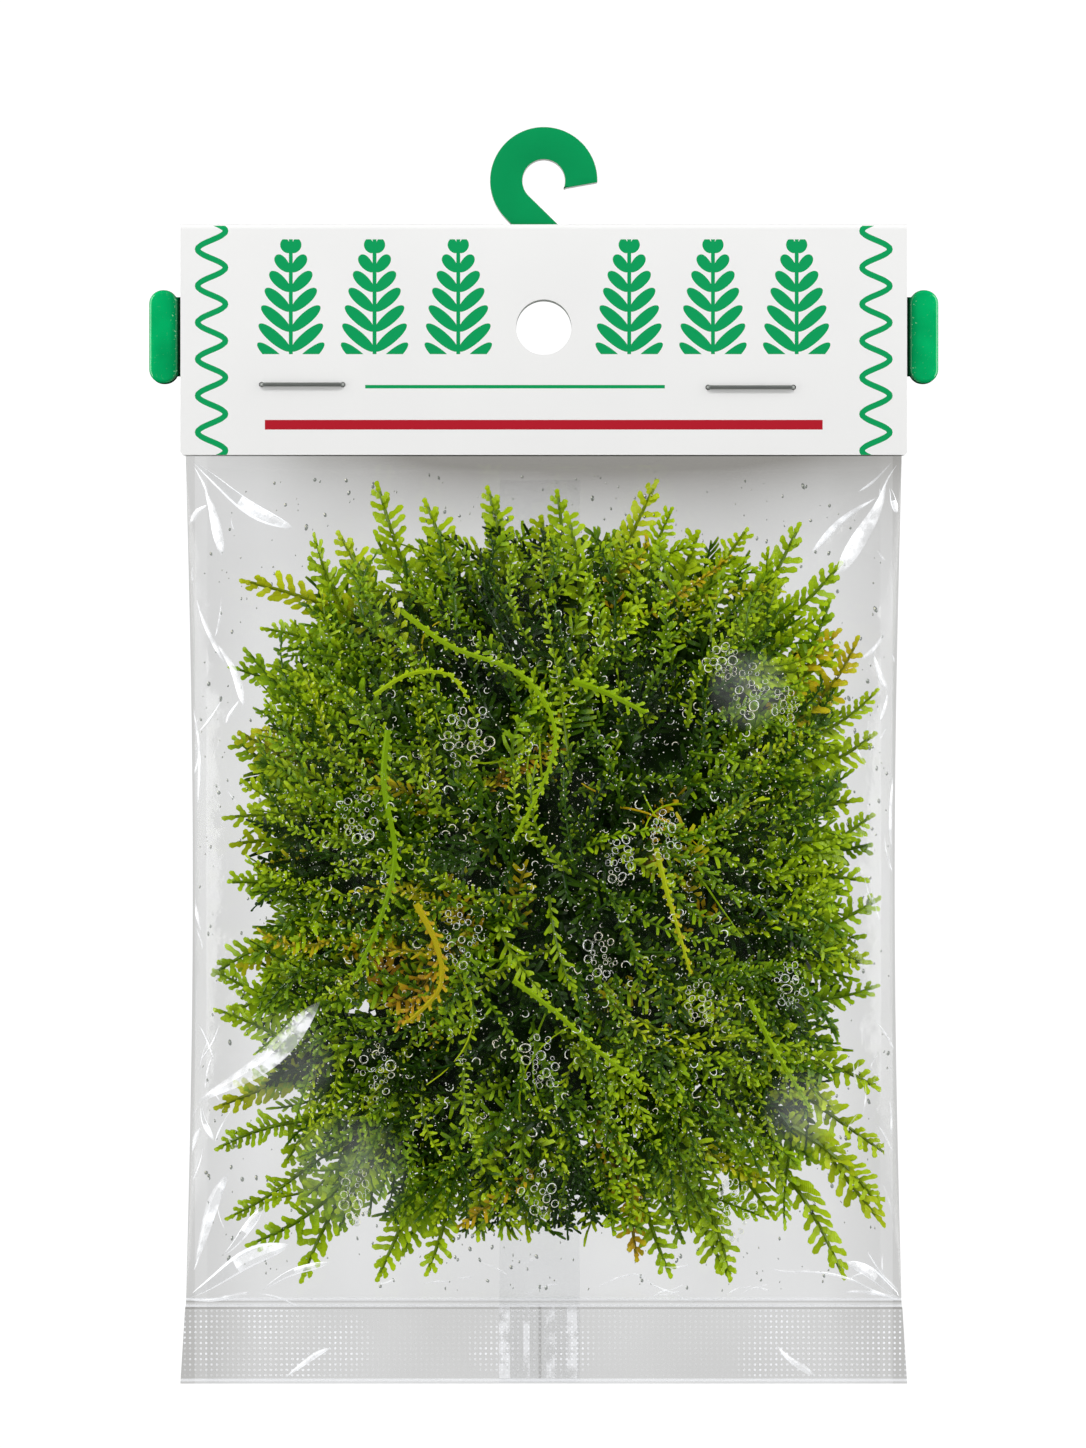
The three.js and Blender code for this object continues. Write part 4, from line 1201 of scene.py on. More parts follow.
def fold_look(settings):
    """Pinched film: painted highlights, a glowing white where it turns to the light, and clear between its
    edges.
    """
    look = Look("pinched_film")
    u, v = look.map_place()
    row = v * len(fold_rows())
    down = row.of("FRACT")
    hollow = row < len(HOLLOW_FOLDS)
    fine = row > len(HOLLOW_FOLDS) + len(PAINTED_HIGHLIGHT_FOLDS)
    ends = (u * (1.0 - u) * 9.0).at_most(1.0)
    streak = ((look.noise(0.5) - 0.4) * 5.0).clipped()
    filled = (u > 0.5) * (0.3 + streak * 0.65)
    rim = (abs((down - 0.5) * 2.2) > 0.74).at_least(filled)
    fade = ((1.0 - down) * 1.7).at_most(1.0)
    body = (0.35 + streak * 0.6 - fine * 0.2) * (0.25 + fade * 0.75)
    share = (hollow * rim + (1.0 - hollow) * body) * ends
    light = dict(Emission_Color=(0.95, 0.96, 1.0), Emission_Strength=0.4)
    white = look.principled(Base_Color=(0.9, 0.91, 0.92), Roughness=0.25, **light)
    return look.surface(look.blend(share * 0.9, look.clear(settings.film_colour), white))


class FilmSettings(bpy.types.PropertyGroup):
    """Finish of the bag's film."""

    film_colour: FloatVectorProperty(
        name="Film tint",
        description="How much light one layer lets through",
        subtype="COLOR",
        default=(0.97, 0.975, 0.98),
    )
    shade_colour: FloatVectorProperty(
        name="Shaded film",
        description="How much light the film lets through where it lies in shade",
        subtype="COLOR",
        default=(0.31, 0.3, 0.28),
    )
    around: IntProperty(name="Columns", description="Columns of film round the bag", default=240)
    rows: IntProperty(name="Rows", description="Rows of film down the bag", default=215)


class FilmOperator(bpy.types.Operator):
    """Make the clear bag, the lap down its back and its folds"""

    bl_idname = "moss_pack.film"
    bl_label = "Film bag"

    def execute(self, context):
        settings = context.scene.moss_pack_film
        bag = film_mesh(settings.around, settings.rows)
        clear = film_look("clear_film", settings)
        finish_piece("film_bag_film", bag, [clear], "film", "film_bag")
        thin = film_look("clear_film_single", settings, 0.0)
        finish_piece("film_fin_seal", fin_mesh(), [thin], "film", "film_bag")
        crisp(finish_piece("film_folds", folds_mesh(), [fold_look(settings)], "film", "film_bag"), 8)
        return {"FINISHED"}


# Water inside the bag

BUBBLE_PATCHES = [
    (470, 735, 4.5), (750, 690, 3.5), (725, 660, 2.5), (785, 705, 2.5), (620, 860, 3.0),
    (600, 960, 3.5), (460, 935, 4.0), (540, 1060, 3.5), (375, 1070, 4.0), (355, 1195, 3.5),
    (700, 1000, 3.0), (790, 985, 3.0), (735, 1210, 4.0), (540, 1190, 4.0), (360, 815, 3.5),
    (665, 835, 3.0),
]


def bead_mesh(columns, rows):
    bm = bmesh.new()
    bmesh.ops.create_uvsphere(bm, u_segments=columns, v_segments=rows, radius=1)
    return mesh_from(bm, "bead")


def scatter_beads(name, bead, beads, look):
    """Copies of one bead at (place, radius, flatness, stretch, turn) entries, as one piece."""
    bm = bmesh.new()
    for _ in beads:
        bm.from_mesh(bead)
    mesh = mesh_from(bm, name)
    places, sizes, flats, talls, turns = (np.array(column) for column in zip(*beads))
    scale = np.column_stack([sizes, sizes * flats, sizes * talls])
    local = coords_of(mesh).reshape(len(beads), -1, 3) * scale[:, None]
    x, y, z = local.transpose(2, 0, 1)
    cos, sin = np.cos(turns)[:, None], np.sin(turns)[:, None]
    coords = np.stack([x * cos - z * sin, y, x * sin + z * cos], axis=2) + places[:, None]
    put_coords(mesh, coords.reshape(-1, 3))
    finish_piece(name, mesh, [look], "film", "film_bag")


def ring_mesh(sides, thick, degrees, steps):
    """The wet ring, or part of one, where a bubble touches the film. It faces -Y; its radius is 1."""
    bm = bmesh.new()
    section = bmesh.ops.create_circle(bm, segments=sides, radius=thick)["verts"]
    stand = Matrix.Translation((1, 0, 0)) @ Matrix.Rotation(math.pi / 4, 4, "Z")
    bmesh.ops.transform(bm, matrix=stand, verts=section)
    spin = dict(cent=(0, 0, 0), axis=(0, 1, 0), angle=math.radians(degrees), steps=steps)
    bmesh.ops.spin(bm, geom=all_of(bm), use_merge=degrees == 360, **spin)
    close_holes(bm)
    bmesh.ops.recalc_face_normals(bm, faces=bm.faces)
    return mesh_from(bm, "ring")


def close_holes(bm):
    ends = [edge for edge in bm.edges if edge.is_boundary]
    if ends:
        bmesh.ops.holes_fill(bm, edges=ends)


def bead_look(name, rim, clear):
    """Water beads: clear in the middle and mirror-like at the rim."""
    look = Look(name)
    facing = look.node("ShaderNodeLayerWeight", values={"Blend": rim}).outputs["Facing"]
    share = Amount(look, facing).of("POWER", 2.5) * 0.5 + 0.06
    return look.surface(look.blend(share, look.clear(clear), look.gloss(Roughness=0.05)))


def painted_glint_look():
    """Wet rings and glints as painted highlights: water drawn in a glowing white or, here and there, golden.
    """
    look = Look("painted_glints")
    streak = look.noise(1.9, 2.0)
    tint = look.mix((look.noise(0.35, 1.0) - 0.4) * 5.0, (0.88, 0.9, 0.84), (0.8, 0.74, 0.5))
    light = dict(Emission_Color=(0.95, 0.97, 0.9), Emission_Strength=0.32)
    white = look.principled(Base_Color=tint, Roughness=0.12, **light)
    share = ((streak - 0.4) * 6.0).at_least(0.12).at_most(1.0)
    return look.surface(look.blend(share, look.clear((0.95, 0.97, 0.95)), white))


def film_drops(draw, count):
    """Entries for drops on both walls of the film, most of them at its edges, and their gleams."""
    drops, shines = [], []
    while len(drops) < count:
        x, z = draw(-50.5, 50.5), draw(SEAL_TOP + 1.5, BELLY_TOP - 1.5)
        near_edge = max(abs(x) / 50.5, abs(z - MOSS_CENTRE[1]) / 60)
        if draw() > 0.12 + 0.88 * near_edge**4:
            continue
        side = -1 if draw() < 0.75 else 1
        inside = inside_at(x, z)
        if inside < 1.2:
            continue
        radius = 0.09 + 0.24 * draw() ** 3
        y = BAG_Y + side * (inside - 0.72)
        drops.append(((x, y, z), radius, 0.6, draw(0.9, 1.8), draw(-0.5, 0.5)))
        gleam = (x - 0.4 * radius, y - 0.55 * radius, z + 0.45 * radius)
        shines.append((gleam, 0.42 * radius, 0.4, 1.6, 0.5))
    return drops, shines


def foam_patches(draw, count):
    """Entries for the bubbles of each patch of foam, and for the rings where they touch the film."""
    foam, rings = [], []
    for px, py, spread in BUBBLE_PATCHES:
        cx, cz = photo_place(px, py)
        packed = []
        for _ in range(count * 8):
            if len(packed) >= count:
                break
            angle, away = 2 * math.pi * draw(), spread * math.sqrt(draw())
            x, z = cx + 0.7 * away * math.cos(angle), cz + 1.15 * away * math.sin(angle)
            radius = 0.32 + 0.6 * draw() ** 1.6
            if any(math.hypot(x - u, z - w) < 0.85 * (radius + r) for u, w, r in packed):
                continue
            packed.append((x, z, radius))
            wall = BAG_Y - inside_at(x, z)
            tall, turn = draw(0.75, 1.0), draw(0, math.pi)
            foam.append(((x, wall + 0.5 * radius, z), radius, 0.5, tall, turn))
            rings.append(((x, wall + 0.14, z), radius * 0.9, 1.0, tall, turn))
    return foam, rings


def strewn(draw, count, reach, sizes, flat):
    """Entries for small wet things all over the front of the moss."""
    beads = []
    for _ in range(count):
        x, z = place_on(CORE, 2 * math.pi * draw(), reach * math.sqrt(draw()))
        y = BAG_Y - max(inside_at(x, z) - draw(0.35, 1.2), 0)
        radius = sizes[0] + (sizes[1] - sizes[0]) * draw() ** 2
        beads.append(((x, y, z), radius, flat, draw(0.5, 1.6), draw(0, 2 * math.pi)))
    return beads


class WaterSettings(bpy.types.PropertyGroup):
    """Beads of water and foam inside the film."""

    drops: IntProperty(name="Drops", description="Water drops on the film", default=800)
    foam: IntProperty(name="Foam", description="Bubbles in each patch of foam", default=20)
    arcs: IntProperty(name="Arcs", description="Wet curls round the leaves", default=420)
    glints: IntProperty(name="Glints", description="Beads of water on the leaves", default=5000)


class WaterOperator(bpy.types.Operator):
    """Wet the film's inside with drops and patches of foam"""

    bl_idname = "moss_pack.water"
    bl_label = "Water"

    def execute(self, context):
        settings = context.scene.moss_pack_water
        draw = seeded(61)
        drops, shines = film_drops(draw, settings.drops)
        foam, rings = foam_patches(draw, settings.foam)
        arcs = strewn(draw, settings.arcs, 0.98, (0.25, 0.65), 0.7)
        glints = strewn(draw, settings.glints, 1.18, (0.05, 0.125), 0.9)
        water = bead_look("water", 0.5, (0.62, 0.64, 0.62))
        bubbles = bead_look("foam", 0.35, (0.97, 0.98, 0.97))
        painted_glints = painted_glint_look()
        scatter_beads("water_drops", bead_mesh(6, 4), drops, water)
        scatter_beads("foam_bubbles", bead_mesh(8, 5), foam, bubbles)
        scatter_beads("foam_rings", ring_mesh(4, 0.1, 360, 13), rings, painted_glints)
        scatter_beads("wet_arcs", ring_mesh(3, 0.13, 190, 6), arcs, painted_glints)
        scatter_beads("glints", bead_mesh(4, 2), glints + shines, painted_glints)
        return {"FINISHED"}


# Header


# The print: the waves at the sides, the sprigs in their band, the hairline and the crimson rule
WAVE_PERIOD = 5.29
WAVE_REACH = 2.0
WAVE_HALF = 0.42
WAVE_X = 48.0
SPRIG_BAND_X = (6.3, 42.5)
SPRIG_BAND_Z = (-28.2, -11.6)
SPRIG_HEIGHT = 16.4
SPRIG_PITCH = 12.1
SPRIG_REACH = 4.9
LEAF_ROW = 2.9
LEAF_HALF = 1.0976
HAIR_X = (-25.8, 17.5)
HAIR_Z = (-33.15, -32.65)
RULE_Z = -38.4
RULE_HALF = (40.3, 0.7)


def print_masks(look):
    """The header's plain print, as shares from 0 to 1: green parts and crimson parts."""
    x, y, z = look.place()
    aside = abs(x)
    nearest = 100.0
    for step in range(-5, 6):
        down = step * 0.2
        centre = ((z + down) * (2 * math.pi / WAVE_PERIOD) + 4.5).of("SINE") * WAVE_REACH
        off = aside - WAVE_X - centre
        nearest = (off * off + down * down).at_most(nearest)
    wave = nearest < WAVE_HALF**2
    # Sprigs: a rib with rows of lens-shaped leaves, which are shorter higher up
    inner, outer = SPRIG_BAND_X
    low, high = SPRIG_BAND_Z
    off = abs(((aside - inner) / SPRIG_PITCH).of("FRACT") * SPRIG_PITCH - SPRIG_PITCH / 2)
    up = (z - low) / SPRIG_HEIGHT
    reach = SPRIG_REACH * (1.0 - up * up * 0.72)
    row = ((z - off * 0.75) / LEAF_ROW).of("FRACT") * LEAF_ROW - LEAF_ROW / 2
    along = (off / reach - 0.5) * 2.0
    bulge = (1.0 - along * along).at_least(0.0).of("SQRT") * LEAF_HALF
    band = (z < high) * (z > low) * (aside > inner) * (aside < outer)
    sprig = (abs(row) < bulge).at_least(off < 0.28) * band
    hair = (z < HAIR_Z[1]) * (z > HAIR_Z[0]) * (x > HAIR_X[0]) * (x < HAIR_X[1])
    crimson = (abs(z - RULE_Z) < RULE_HALF[1]) * (aside < RULE_HALF[0])
    outside = (y < CARD_LOW[1] + 0.2).at_least(y > CARD_HIGH[1] - 0.2)
    return wave.at_least(sprig).at_least(hair) * outside, crimson * outside


def card_look(settings):
    """Smooth coated card with its print, on front and back alike."""
    look = Look("printed_card")
    green, crimson = print_masks(look)
    paper = look.mix(look.noise(0.06, 2.0), (0.77, 0.77, 0.765), (0.81, 0.81, 0.8))
    colour = look.mix(crimson, look.mix(green, paper, settings.ink_green), settings.ink_crimson)
    rough = look.noise(0.5) * 0.12 + 0.38
    normal = look.bump(look.noise(2.2) * 0.4 + look.noise(0.05, 1.0) * 4.0, 0.03, 0.5)
    shine = dict(Specular_IOR_Level=0.2, Coat_Weight=0.08)
    # A faint painted glow of the card's own colour brightens it
    light = dict(Emission_Color=colour, Emission_Strength=0.055)
    return look.solid(Base_Color=colour, Roughness=rough, Normal=normal, **shine, **light)


def core_look():
    """Cut edges of card and board, where the pale pulp shows."""
    look = Look("board_core")
    grain = look.noise(1.6, 4.0, (0.4, 3.0, 0.4))
    colour = look.mix(grain, (0.42, 0.43, 0.41), (0.62, 0.63, 0.6))
    # A faint painted glow lightens the cut edges
    light = dict(Emission_Color=(1, 1, 0.98), Emission_Strength=0.06)
    return look.solid(Base_Color=colour, Roughness=0.75, Normal=look.bump(grain, 0.05, 0.6), **light)


def ink_look(settings):
    """The hook board's printed face."""
    look = Look("green_print")
    green = settings.ink_green
    colour = look.mix(look.noise(0.12), shaded(green, 0.82), green)
    rough = look.noise(0.8) * 0.15 + 0.32
    normal = look.bump(look.noise(2.4), 0.03, 0.4)
    return look.solid(Base_Color=colour, Roughness=rough, Normal=normal, Specular_IOR_Level=0.15)


def clip_look(settings):
    """Moulded green plastic with painted light: painted shade darkens it towards the card and nearly
    blackens the neck, painted light brightens its outer side, and painted sparkles fleck it where the head
    meets the neck.
    """
    look = Look("clip_plastic")
    green = settings.clip_colour
    # Painted shade: a darker copy of the green, used towards the card
    deep = shaded(green, 0.45)
    aside = abs(look.place()[0])
    root = (54.1 - aside).clipped()
    # Painted sparkles, most of them near the neck
    painted_sparkle = (look.noise(2.6, 2.0) - 0.64).at_least(0.0) * (root * 12.0 + 1.0)
    # Painted light: lighter towards the outer side, with random tone from the noise
    painted_glow = look.noise(0.22, 2.0) + (aside - 54.6) * 0.12
    base = look.mix(root * 0.9, look.mix(painted_glow, deep, green), deep)
    head = look.mix(painted_sparkle.at_most(1.0) * (aside > 52.95), base, (0.32, 0.75, 0.42))
    # Painted shade: the neck is nearly black
    colour = look.mix((53.0 - aside) * 8.0, head, shaded(green, 0.08))
    normal = look.bump(look.noise(0.5, 2.0) + look.noise(3.0, 2.0) * 0.2, 0.06, 0.4)
    shine = dict(Coat_Weight=0.6, Coat_Roughness=0.05)
    return look.solid(Base_Color=colour, Roughness=0.14, Normal=normal, **shine)


def wire_look():
    look = Look("staple_wire")
    streak = look.noise(1.2, 4.0, (0.3, 4.0, 4.0))
    colour = look.mix(streak, (0.19, 0.2, 0.19), (0.34, 0.36, 0.34))
    normal = look.bump(streak, 0.02, 0.5)
    return look.solid(Base_Color=colour, Metallic=0.55, Roughness=streak * 0.2 + 0.3, Normal=normal)


class HeaderSettings(bpy.types.PropertyGroup):
    """Colours of the header's pieces."""

    ink_green: FloatVectorProperty(
        name="Green ink", description="The print's green", subtype="COLOR", default=(0.0, 0.31, 0.092)
    )
    ink_crimson: FloatVectorProperty(
        name="Crimson ink", description="The print's crimson", subtype="COLOR", default=(0.42, 0.008, 0.02)
    )
    clip_colour: FloatVectorProperty(
        name="Clip green", description="The side clips' plastic", subtype="COLOR", default=(0.0, 0.51, 0.15)
    )
    edge_round: FloatProperty(
        name="Edge rounding",
        description="Rounding of the board's cut edges",
        default=0.18 * MM,
        unit="LENGTH",
    )


def chamfer(bm, edges, width, segments=2):
    way = dict(offset_type="OFFSET", affect="EDGES", profile=0.5, material=-1)
    bmesh.ops.bevel(bm, geom=edges, offset=width, segments=segments, **way)


def sharp_edges(bm, degrees):
    return [e for e in bm.edges if e.is_manifold and e.calc_face_angle() > math.radians(degrees)]


def block(low, high):
    """A box between two corners, in millimetres."""
    bm = bmesh.new()
    bmesh.ops.create_cube(bm, size=1)
    low, high = Vector(low), Vector(high)
    matrix = Matrix.Translation((low + high) / 2) @ Matrix.Diagonal((*(high - low), 1))
    bmesh.ops.transform(bm, matrix=matrix, verts=bm.verts)
    return bm


def edges_along(bm, way, test=lambda middle: True):
    """Straight edges that run along one axis and whose middle passes a test."""
    found = []
    for edge in bm.edges:
        start, end = (vert.co for vert in edge.verts)
        if abs((end - start).normalized()[way]) > 0.999 and test((start + end) / 2):
            found.append(edge)
    return found


def rod(x, z, radius, segments):
    """A round bar along Y that reaches right through the pack, in millimetres."""
    bm = bmesh.new()
    size = dict(segments=segments, radius1=radius, radius2=radius, depth=20)
    bmesh.ops.create_cone(bm, cap_ends=True, **size)
    stand = Matrix.Translation((x, 0, z)) @ Matrix.Rotation(math.pi / 2, 4, "X")
    bmesh.ops.transform(bm, matrix=stand, verts=bm.verts)
    return bm


def carved(body, *tools):
    """The first body with the others cut out of it, as a new bmesh."""
    holders = [add_object("tool", mesh_from(bm, "tool")) for bm in (body, *tools)]
    for holder in holders[1:]:
        cut = holders[0].modifiers.new("cut", "BOOLEAN")
        cut.operation = "DIFFERENCE"
        cut.solver = "EXACT"
        cut.object = holder
    made = bmesh.new()
    made.from_object(holders[0], bpy.context.evaluated_depsgraph_get())
    for holder in holders:
        mesh = holder.data
        bpy.data.objects.remove(holder)
        bpy.data.meshes.remove(mesh)
    return made


def scaled_mesh(bm, name):
    bmesh.ops.scale(bm, vec=(MM, MM, MM), verts=bm.verts)
    bmesh.ops.recalc_face_normals(bm, faces=bm.faces)
    return mesh_from(bm, name)


def crisp(piece, degrees=28):
    piece.data.set_sharp_from_angle(angle=math.radians(degrees))
    return piece


def paint_edges(mesh):
    """Gives faces that look along Y the first material and all others the second."""
    for face in mesh.polygons:
        face.material_index = 0 if abs(face.normal.y) > 0.8 else 1


def hang_hole_tool():
    return rod(0, HANG_HOLE_Z, HANG_HOLE_R, 72)


def leg_hole_tools():
    spots = []
    for x, z, crown in STAPLES.values():
        spots += [(x - (crown - WIRE) / 2, z), (x + (crown - WIRE) / 2, z)]
    return [rod(x, z, WIRE / 2 + LEG_PLAY, 16) for x, z in spots]


def card_piece(settings):
    low, high = CARD_LOW, CARD_HIGH
    bm = block(low, high)
    chamfer(bm, edges_along(bm, 0, lambda m: m.z > high[2] - 1), FOLD_ROUND, 8)
    chamfer(bm, edges_along(bm, 1, lambda m: m.z < low[2] + 1), CARD_CORNER, 4)
    wall = CARD_WALL
    inside = block((low[0] - 1, low[1] + wall, low[2] - 1), (high[0] + 1, high[1] - wall, high[2] - wall))
    slot = block(
        (SLOT_X[0], HOOK_LOW[1] - SLOT_PLAY, high[2] - 2), (SLOT_X[1], HOOK_HIGH[1] + SLOT_PLAY, high[2] + 2)
    )
    mesh = scaled_mesh(carved(bm, inside, slot, hang_hole_tool(), *leg_hole_tools()), "header")
    paint_edges(mesh)
    for face in mesh.polygons:
        if face.center.z > (high[2] - 1.2) * MM and abs(face.center.x) < 0.05:
            face.material_index = 0
    looks = [card_look(settings), core_look()]
    crisp(finish_piece("header_card_folded", mesh, looks, "card", "header_card"))


def hook_arch(bm):
    """The open arch and its slanting stem: a square section spun round and drawn out."""
    low, high = HOOK_LOW[1], HOOK_HIGH[1]
    middle, half = (HOOK_OUTER_R + HOOK_INNER_R) / 2, (HOOK_OUTER_R - HOOK_INNER_R) / 2
    centre = Vector((0, 0, -HOOK_INNER_R))
    start, first_turn = math.radians(-40), math.radians(50)
    leaves = STEM_SLOPE + math.pi * 1.5
    bmesh.ops.create_grid(bm, x_segments=1, y_segments=1, size=1)
    size = Matrix.Diagonal((half, (high - low) / 2, 1, 1))
    shift = Matrix.Translation((middle, (high + low) / 2, 0))
    turn = Matrix.Translation(centre) @ Matrix.Rotation(-start, 4, "Y")
    bmesh.ops.transform(bm, matrix=turn @ shift @ size, verts=bm.verts)
    spin = dict(cent=centre, axis=(0, -1, 0), dvec=(0, 0, 0), use_duplicate=False)
    first = bmesh.ops.spin(bm, geom=all_of(bm), angle=first_turn, steps=8, **spin)
    tip_in = HOOK_INNER_R * upright(math.radians(-22))
    along = HOOK_OUTER_R * upright(math.radians(-2)) - tip_in
    across = Vector((-along.z, 0, along.x))
    cut = dict(plane_co=centre + tip_in, plane_no=across, clear_inner=True)
    bmesh.ops.bisect_plane(bm, geom=all_of(bm), **cut)
    last = [part for part in first["geom_last"] if part.is_valid]
    rest = leaves - start - first_turn
    second = bmesh.ops.spin(bm, geom=last, angle=rest, steps=44, **spin)
    end = faces_in(second["geom_last"])
    drawn = bmesh.ops.extrude_face_region(bm, geom=end)["geom"]
    bmesh.ops.translate(bm, vec=STEM_RUN * upright(STEM_SLOPE), verts=verts_in(drawn))
    bmesh.ops.remove_doubles(bm, verts=bm.verts, dist=0.001)
    inner = [f for f in bm.faces if all(len(e.link_faces) > 2 for e in f.edges)]
    bmesh.ops.delete(bm, geom=inner, context="FACES_ONLY")
    close_holes(bm)


def upright(angle):
    """A heading in the plane of the pack's front."""
    return Vector((math.cos(angle), 0, math.sin(angle)))


def faces_in(parts):
    return [part for part in parts if isinstance(part, bmesh.types.BMFace)]


def verts_in(parts):
    return [part for part in parts if isinstance(part, bmesh.types.BMVert)]


def hook_piece(settings):
    bm = bmesh.new()
    hook_arch(bm)
    bmesh.ops.recalc_face_normals(bm, faces=bm.faces)
    chamfer(bm, sharp_edges(bm, 50), settings.edge_round / MM)
    half, bottom, top = HOOK_FOOT
    foot = block((-half, HOOK_LOW[1], bottom), (half, HOOK_HIGH[1], top))
    chamfer(foot, edges_along(foot, 1), 2, 6)
    made = carved(foot, hang_hole_tool())
    made.from_mesh(mesh_from(bm, "arch"))
    mesh = scaled_mesh(made, "hook")
    paint_edges(mesh)
    looks = [ink_look(settings), core_look()]
    crisp(finish_piece("hook_board_cut", mesh, looks, "hook", "hook_board"), 40)


def clip_piece(side, look):
    name = "side_clip_left" if side < 0 else "side_clip_right"
    bm = block(*CLIP_HEAD)
    chamfer(bm, edges_along(bm, 1), 2.0, 10)
    chamfer(bm, sharp_edges(bm, 60), 0.55, 4)
    head = mesh_from(bm, "head")
    made = block(*CLIP_TONGUE)
    chamfer(made, edges_along(made, 0), 0.2)
    for x in CLIP_GROOVES:
        made = carved(made, block((x - 0.12, -2, -32), (x + 0.12, -0.8, -19)))
    made.from_mesh(head)
    if side < 0:
        bmesh.ops.scale(made, vec=(-1, 1, 1), verts=made.verts)
    mesh = scaled_mesh(made, "clip")
    crisp(finish_piece(name + "_moulded", mesh, [look], "clip", name), 35)


def staple_piece(name, look):
    """Round wire: drawn out straight and spun at each bend."""
    x, z, crown = STAPLES[name]
    radius, bend = WIRE / 2, WIRE * 0.75
    front, back = CARD_LOW[1] - 0.1 - radius, CARD_HIGH[1] + 0.1 + radius
    run = crown / 2 - radius - bend
    bm = bmesh.new()
    ring = bmesh.ops.create_circle(bm, segments=12, radius=radius, cap_ends=True)["verts"]
    turn = Matrix.Translation((x, front, z)) @ Matrix.Rotation(math.pi / 2, 4, "Y")
    bmesh.ops.transform(bm, matrix=turn, verts=ring)
    for side in (1, -1):
        faces = [f for f in bm.faces if all(abs(v.co.x - x) < 1e-4 for v in f.verts)][:1]
        at = Vector((x, front, z))
        # Each straight run, and the way from its end to the middle of the bend after it
        legs = [
            (Vector((side * run, 0, 0)), Vector((0, bend, 0))),
            (Vector((0, back - front - 2 * bend, 0)), Vector((-side * bend, 0, 0))),
            (Vector((-side * (CLINCH - bend - radius), 0, 0)), None),
        ]
        for straight, inwards in legs:
            drawn = bmesh.ops.extrude_face_region(bm, geom=faces)["geom"]
            bmesh.ops.translate(bm, vec=straight, verts=verts_in(drawn))
            faces = faces_in(drawn)
            at = at + straight
            if inwards is not None:
                middle = at + inwards
                spin = dict(cent=middle, axis=(0, 0, side), angle=math.pi / 2, steps=5)
                faces = faces_in(bmesh.ops.spin(bm, geom=faces, **spin)["geom_last"])
                at = middle + Matrix.Rotation(side * math.pi / 2, 3, "Z") @ (at - middle)
    bmesh.ops.remove_doubles(bm, verts=bm.verts, dist=0.001)
    inner = [f for f in bm.faces if len(f.verts) > 4 and all(len(e.link_faces) > 2 for e in f.edges)]
    bmesh.ops.delete(bm, geom=inner, context="FACES_ONLY")
    crisp(finish_piece(name + "_wire", scaled_mesh(bm, "staple"), [look], "staple", name), 50)


class HeaderOperator(bpy.types.Operator):
    """Make the card, hook board, side clips and staples"""

    bl_idname = "moss_pack.header"
    bl_label = "Header"

    def execute(self, context):
        settings = context.scene.moss_pack_header
        card_piece(settings)
        hook_piece(settings)
        plastic, wire = clip_look(settings), wire_look()
        for side in (-1, 1):
            clip_piece(side, plastic)
        for name in STAPLES:
            staple_piece(name, wire)
        return {"FINISHED"}


# Stage

# The camera's distance, then the studio's wall, floor and light
CAMERA_DISTANCE = 1.0
STUDIO_RADIUS = 1.7
STUDIO_CURVE = 0.4
FLOOR_Z = -0.36
STUDIO_HEIGHT = 2.2
WORLD_LIGHT = 0.42

# Each lamp's name, place, size across and up, and power
LAMPS = [
    ("left_panel", (-0.6, -0.12, 0.02), (0.45, 0.9), 4.2),
    ("right_panel", (0.6, -0.12, 0.02), (0.45, 0.9), 4.0),
    ("top_softbox", (0.0, -0.45, 0.45), (0.3, 0.15), 2.0),
]
LAMP_AIM = Vector((0, 0, -0.09))


def studio_mesh():
    """A round studio: a level floor that curves up into a wall all the way round."""
    bm = bmesh.new()
    line = [(0.0, FLOOR_Z)]
    for k in range(9):
        turn = k / 8 * math.pi / 2
        out = STUDIO_RADIUS - STUDIO_CURVE * (1 - math.sin(turn))
        line.append((out, FLOOR_Z + STUDIO_CURVE * (1 - math.cos(turn))))
    line.append((STUDIO_RADIUS, FLOOR_Z + STUDIO_HEIGHT))
    verts = [bm.verts.new((x, 0, z)) for x, z in line]
    edges = [bm.edges.new(pair) for pair in zip(verts, verts[1:])]
    spin = dict(cent=(0, 0, 0), axis=(0, 0, 1), angle=2 * math.pi, steps=64, use_merge=True)
    bmesh.ops.spin(bm, geom=verts + edges, **spin)
    bmesh.ops.remove_doubles(bm, verts=bm.verts, dist=1e-5)
    bmesh.ops.recalc_face_normals(bm, faces=bm.faces)
    return mesh_from(bm, "sweep")


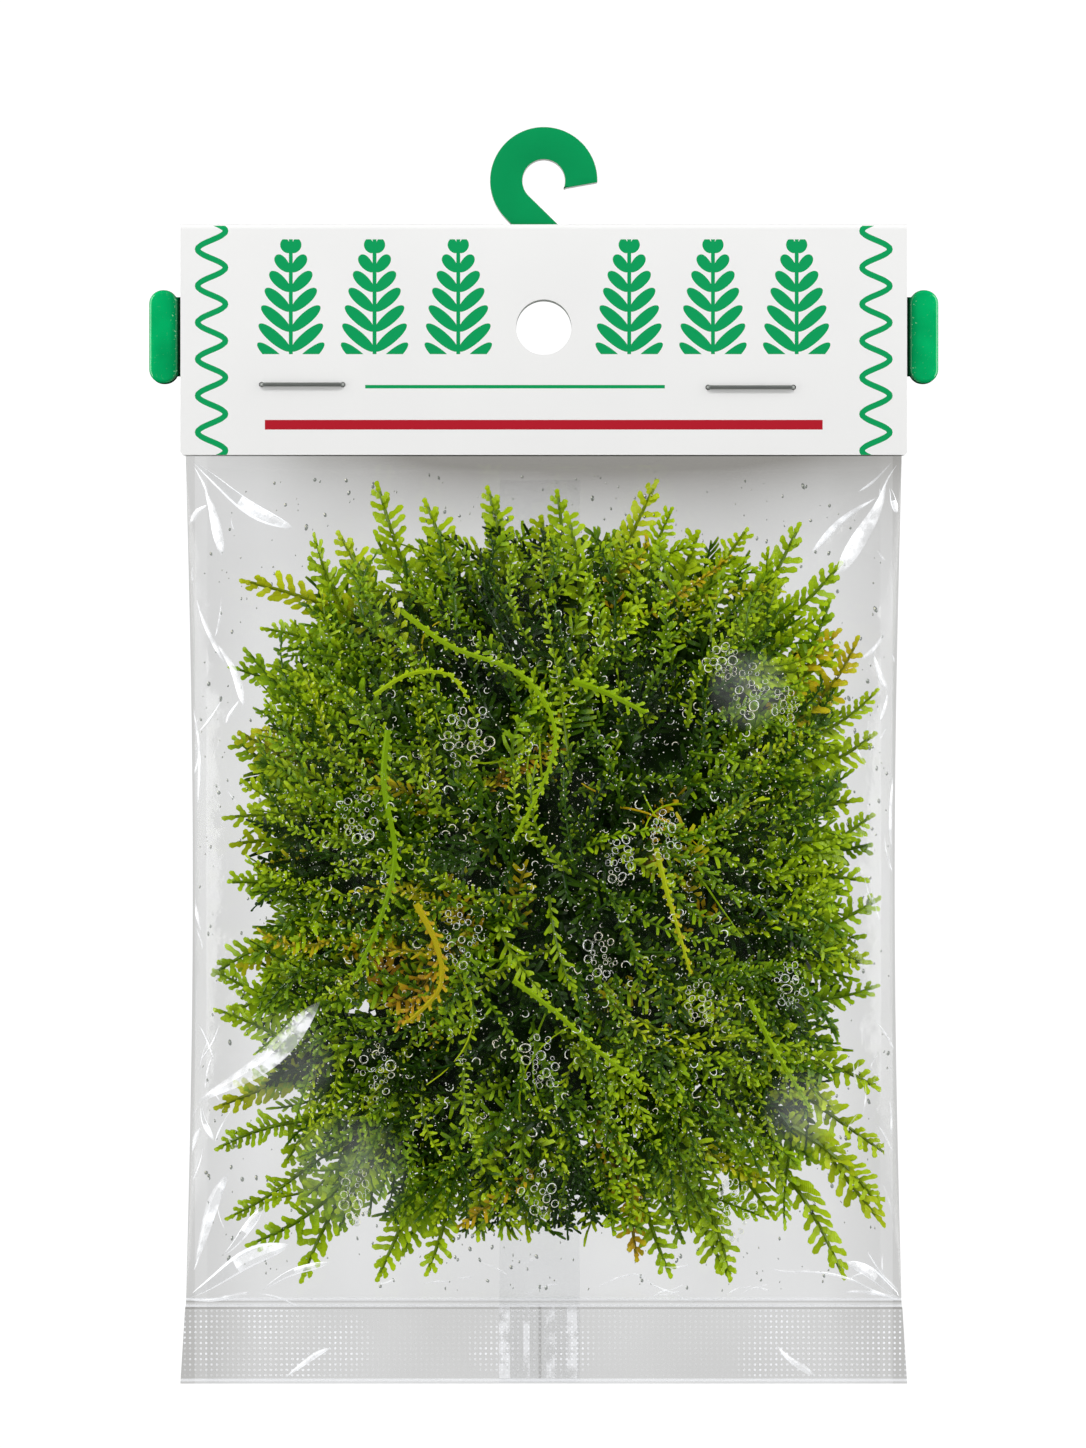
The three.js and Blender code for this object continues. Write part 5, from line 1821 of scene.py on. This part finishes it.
class StageOperator(bpy.types.Operator):
    """Set up the pale sweep, the soft lamps and the camera"""

    bl_idname = "moss_pack.stage"
    bl_label = "Stage"

    def execute(self, context):
        scene = context.scene
        scene.view_settings.view_transform = "Standard"
        mesh = studio_mesh()
        light = dict(Emission_Color=(1, 1, 1), Emission_Strength=0.9)
        look = Look("pale_sweep").solid(Base_Color=(0.3, 0.3, 0.3), Roughness=0.9, **light)
        mesh.materials.append(look)
        mesh.polygons.foreach_set("use_smooth", [True] * len(mesh.polygons))
        sweep = add_object("sweep", mesh)
        sweep.visible_glossy = False
        sweep.visible_diffuse = False
        world = bpy.data.worlds.new("studio")
        world.use_nodes = True
        background = world.node_tree.nodes["Background"]
        background.inputs[0].default_value = (1, 1, 1, 1)
        background.inputs[1].default_value = WORLD_LIGHT
        world.cycles_visibility.glossy = False
        scene.world = world
        for name, place, size, power in LAMPS:
            data = bpy.data.lights.new(name, "AREA")
            data.shape = "RECTANGLE"
            data.size, data.size_y = size
            data.energy = power
            lamp = add_object(name, data)
            lamp.location = place
            lamp.rotation_euler = (LAMP_AIM - Vector(place)).to_track_quat("-Z", "Y").to_euler()
            lamp.visible_glossy = name != "top_softbox"
        camera = bpy.data.cameras.new("camera")
        camera.lens = camera.sensor_width * CAMERA_DISTANCE / (PHOTO_HEIGHT * PHOTO_MM * MM)
        holder = add_object("camera", camera)
        x, z = photo_place(PHOTO_WIDTH / 2, PHOTO_HEIGHT / 2)
        holder.location = (x * MM, CARD_LOW[1] * MM - CAMERA_DISTANCE, z * MM)
        holder.rotation_euler = (math.pi / 2, 0, 0)
        scene.camera = holder
        return {"FINISHED"}


class PackPanel(bpy.types.Panel):
    """Lists the pack's pieces and their settings"""

    bl_idname = "VIEW3D_PT_moss_pack"
    bl_label = "Moss pack"
    bl_space_type = "VIEW_3D"
    bl_region_type = "UI"
    bl_category = "Moss pack"

    def draw(self, context):
        for group in SETTINGS:
            settings = getattr(context.scene, group)
            for key in settings.__annotations__:
                self.layout.prop(settings, key)
        for operator in OPERATORS:
            self.layout.operator(operator.bl_idname)


SETTINGS = {
    "moss_pack_moss": MossSettings,
    "moss_pack_film": FilmSettings,
    "moss_pack_water": WaterSettings,
    "moss_pack_header": HeaderSettings,
}
OPERATORS = (StageOperator, HeaderOperator, MossOperator, FilmOperator, WaterOperator)


def register():
    for name, group in SETTINGS.items():
        bpy.utils.register_class(group)
        setattr(bpy.types.Scene, name, PointerProperty(type=group))
    for operator in OPERATORS:
        bpy.utils.register_class(operator)
    bpy.utils.register_class(PackPanel)


def unregister():
    bpy.utils.unregister_class(PackPanel)
    for operator in reversed(OPERATORS):
        bpy.utils.unregister_class(operator)
    for name, group in SETTINGS.items():
        delattr(bpy.types.Scene, name)
        bpy.utils.unregister_class(group)


def main():
    register()
    bpy.ops.moss_pack.stage()
    bpy.ops.moss_pack.header()
    bpy.ops.moss_pack.moss()
    bpy.ops.moss_pack.film()
    bpy.ops.moss_pack.water()


if __name__ == "__main__":
    main()
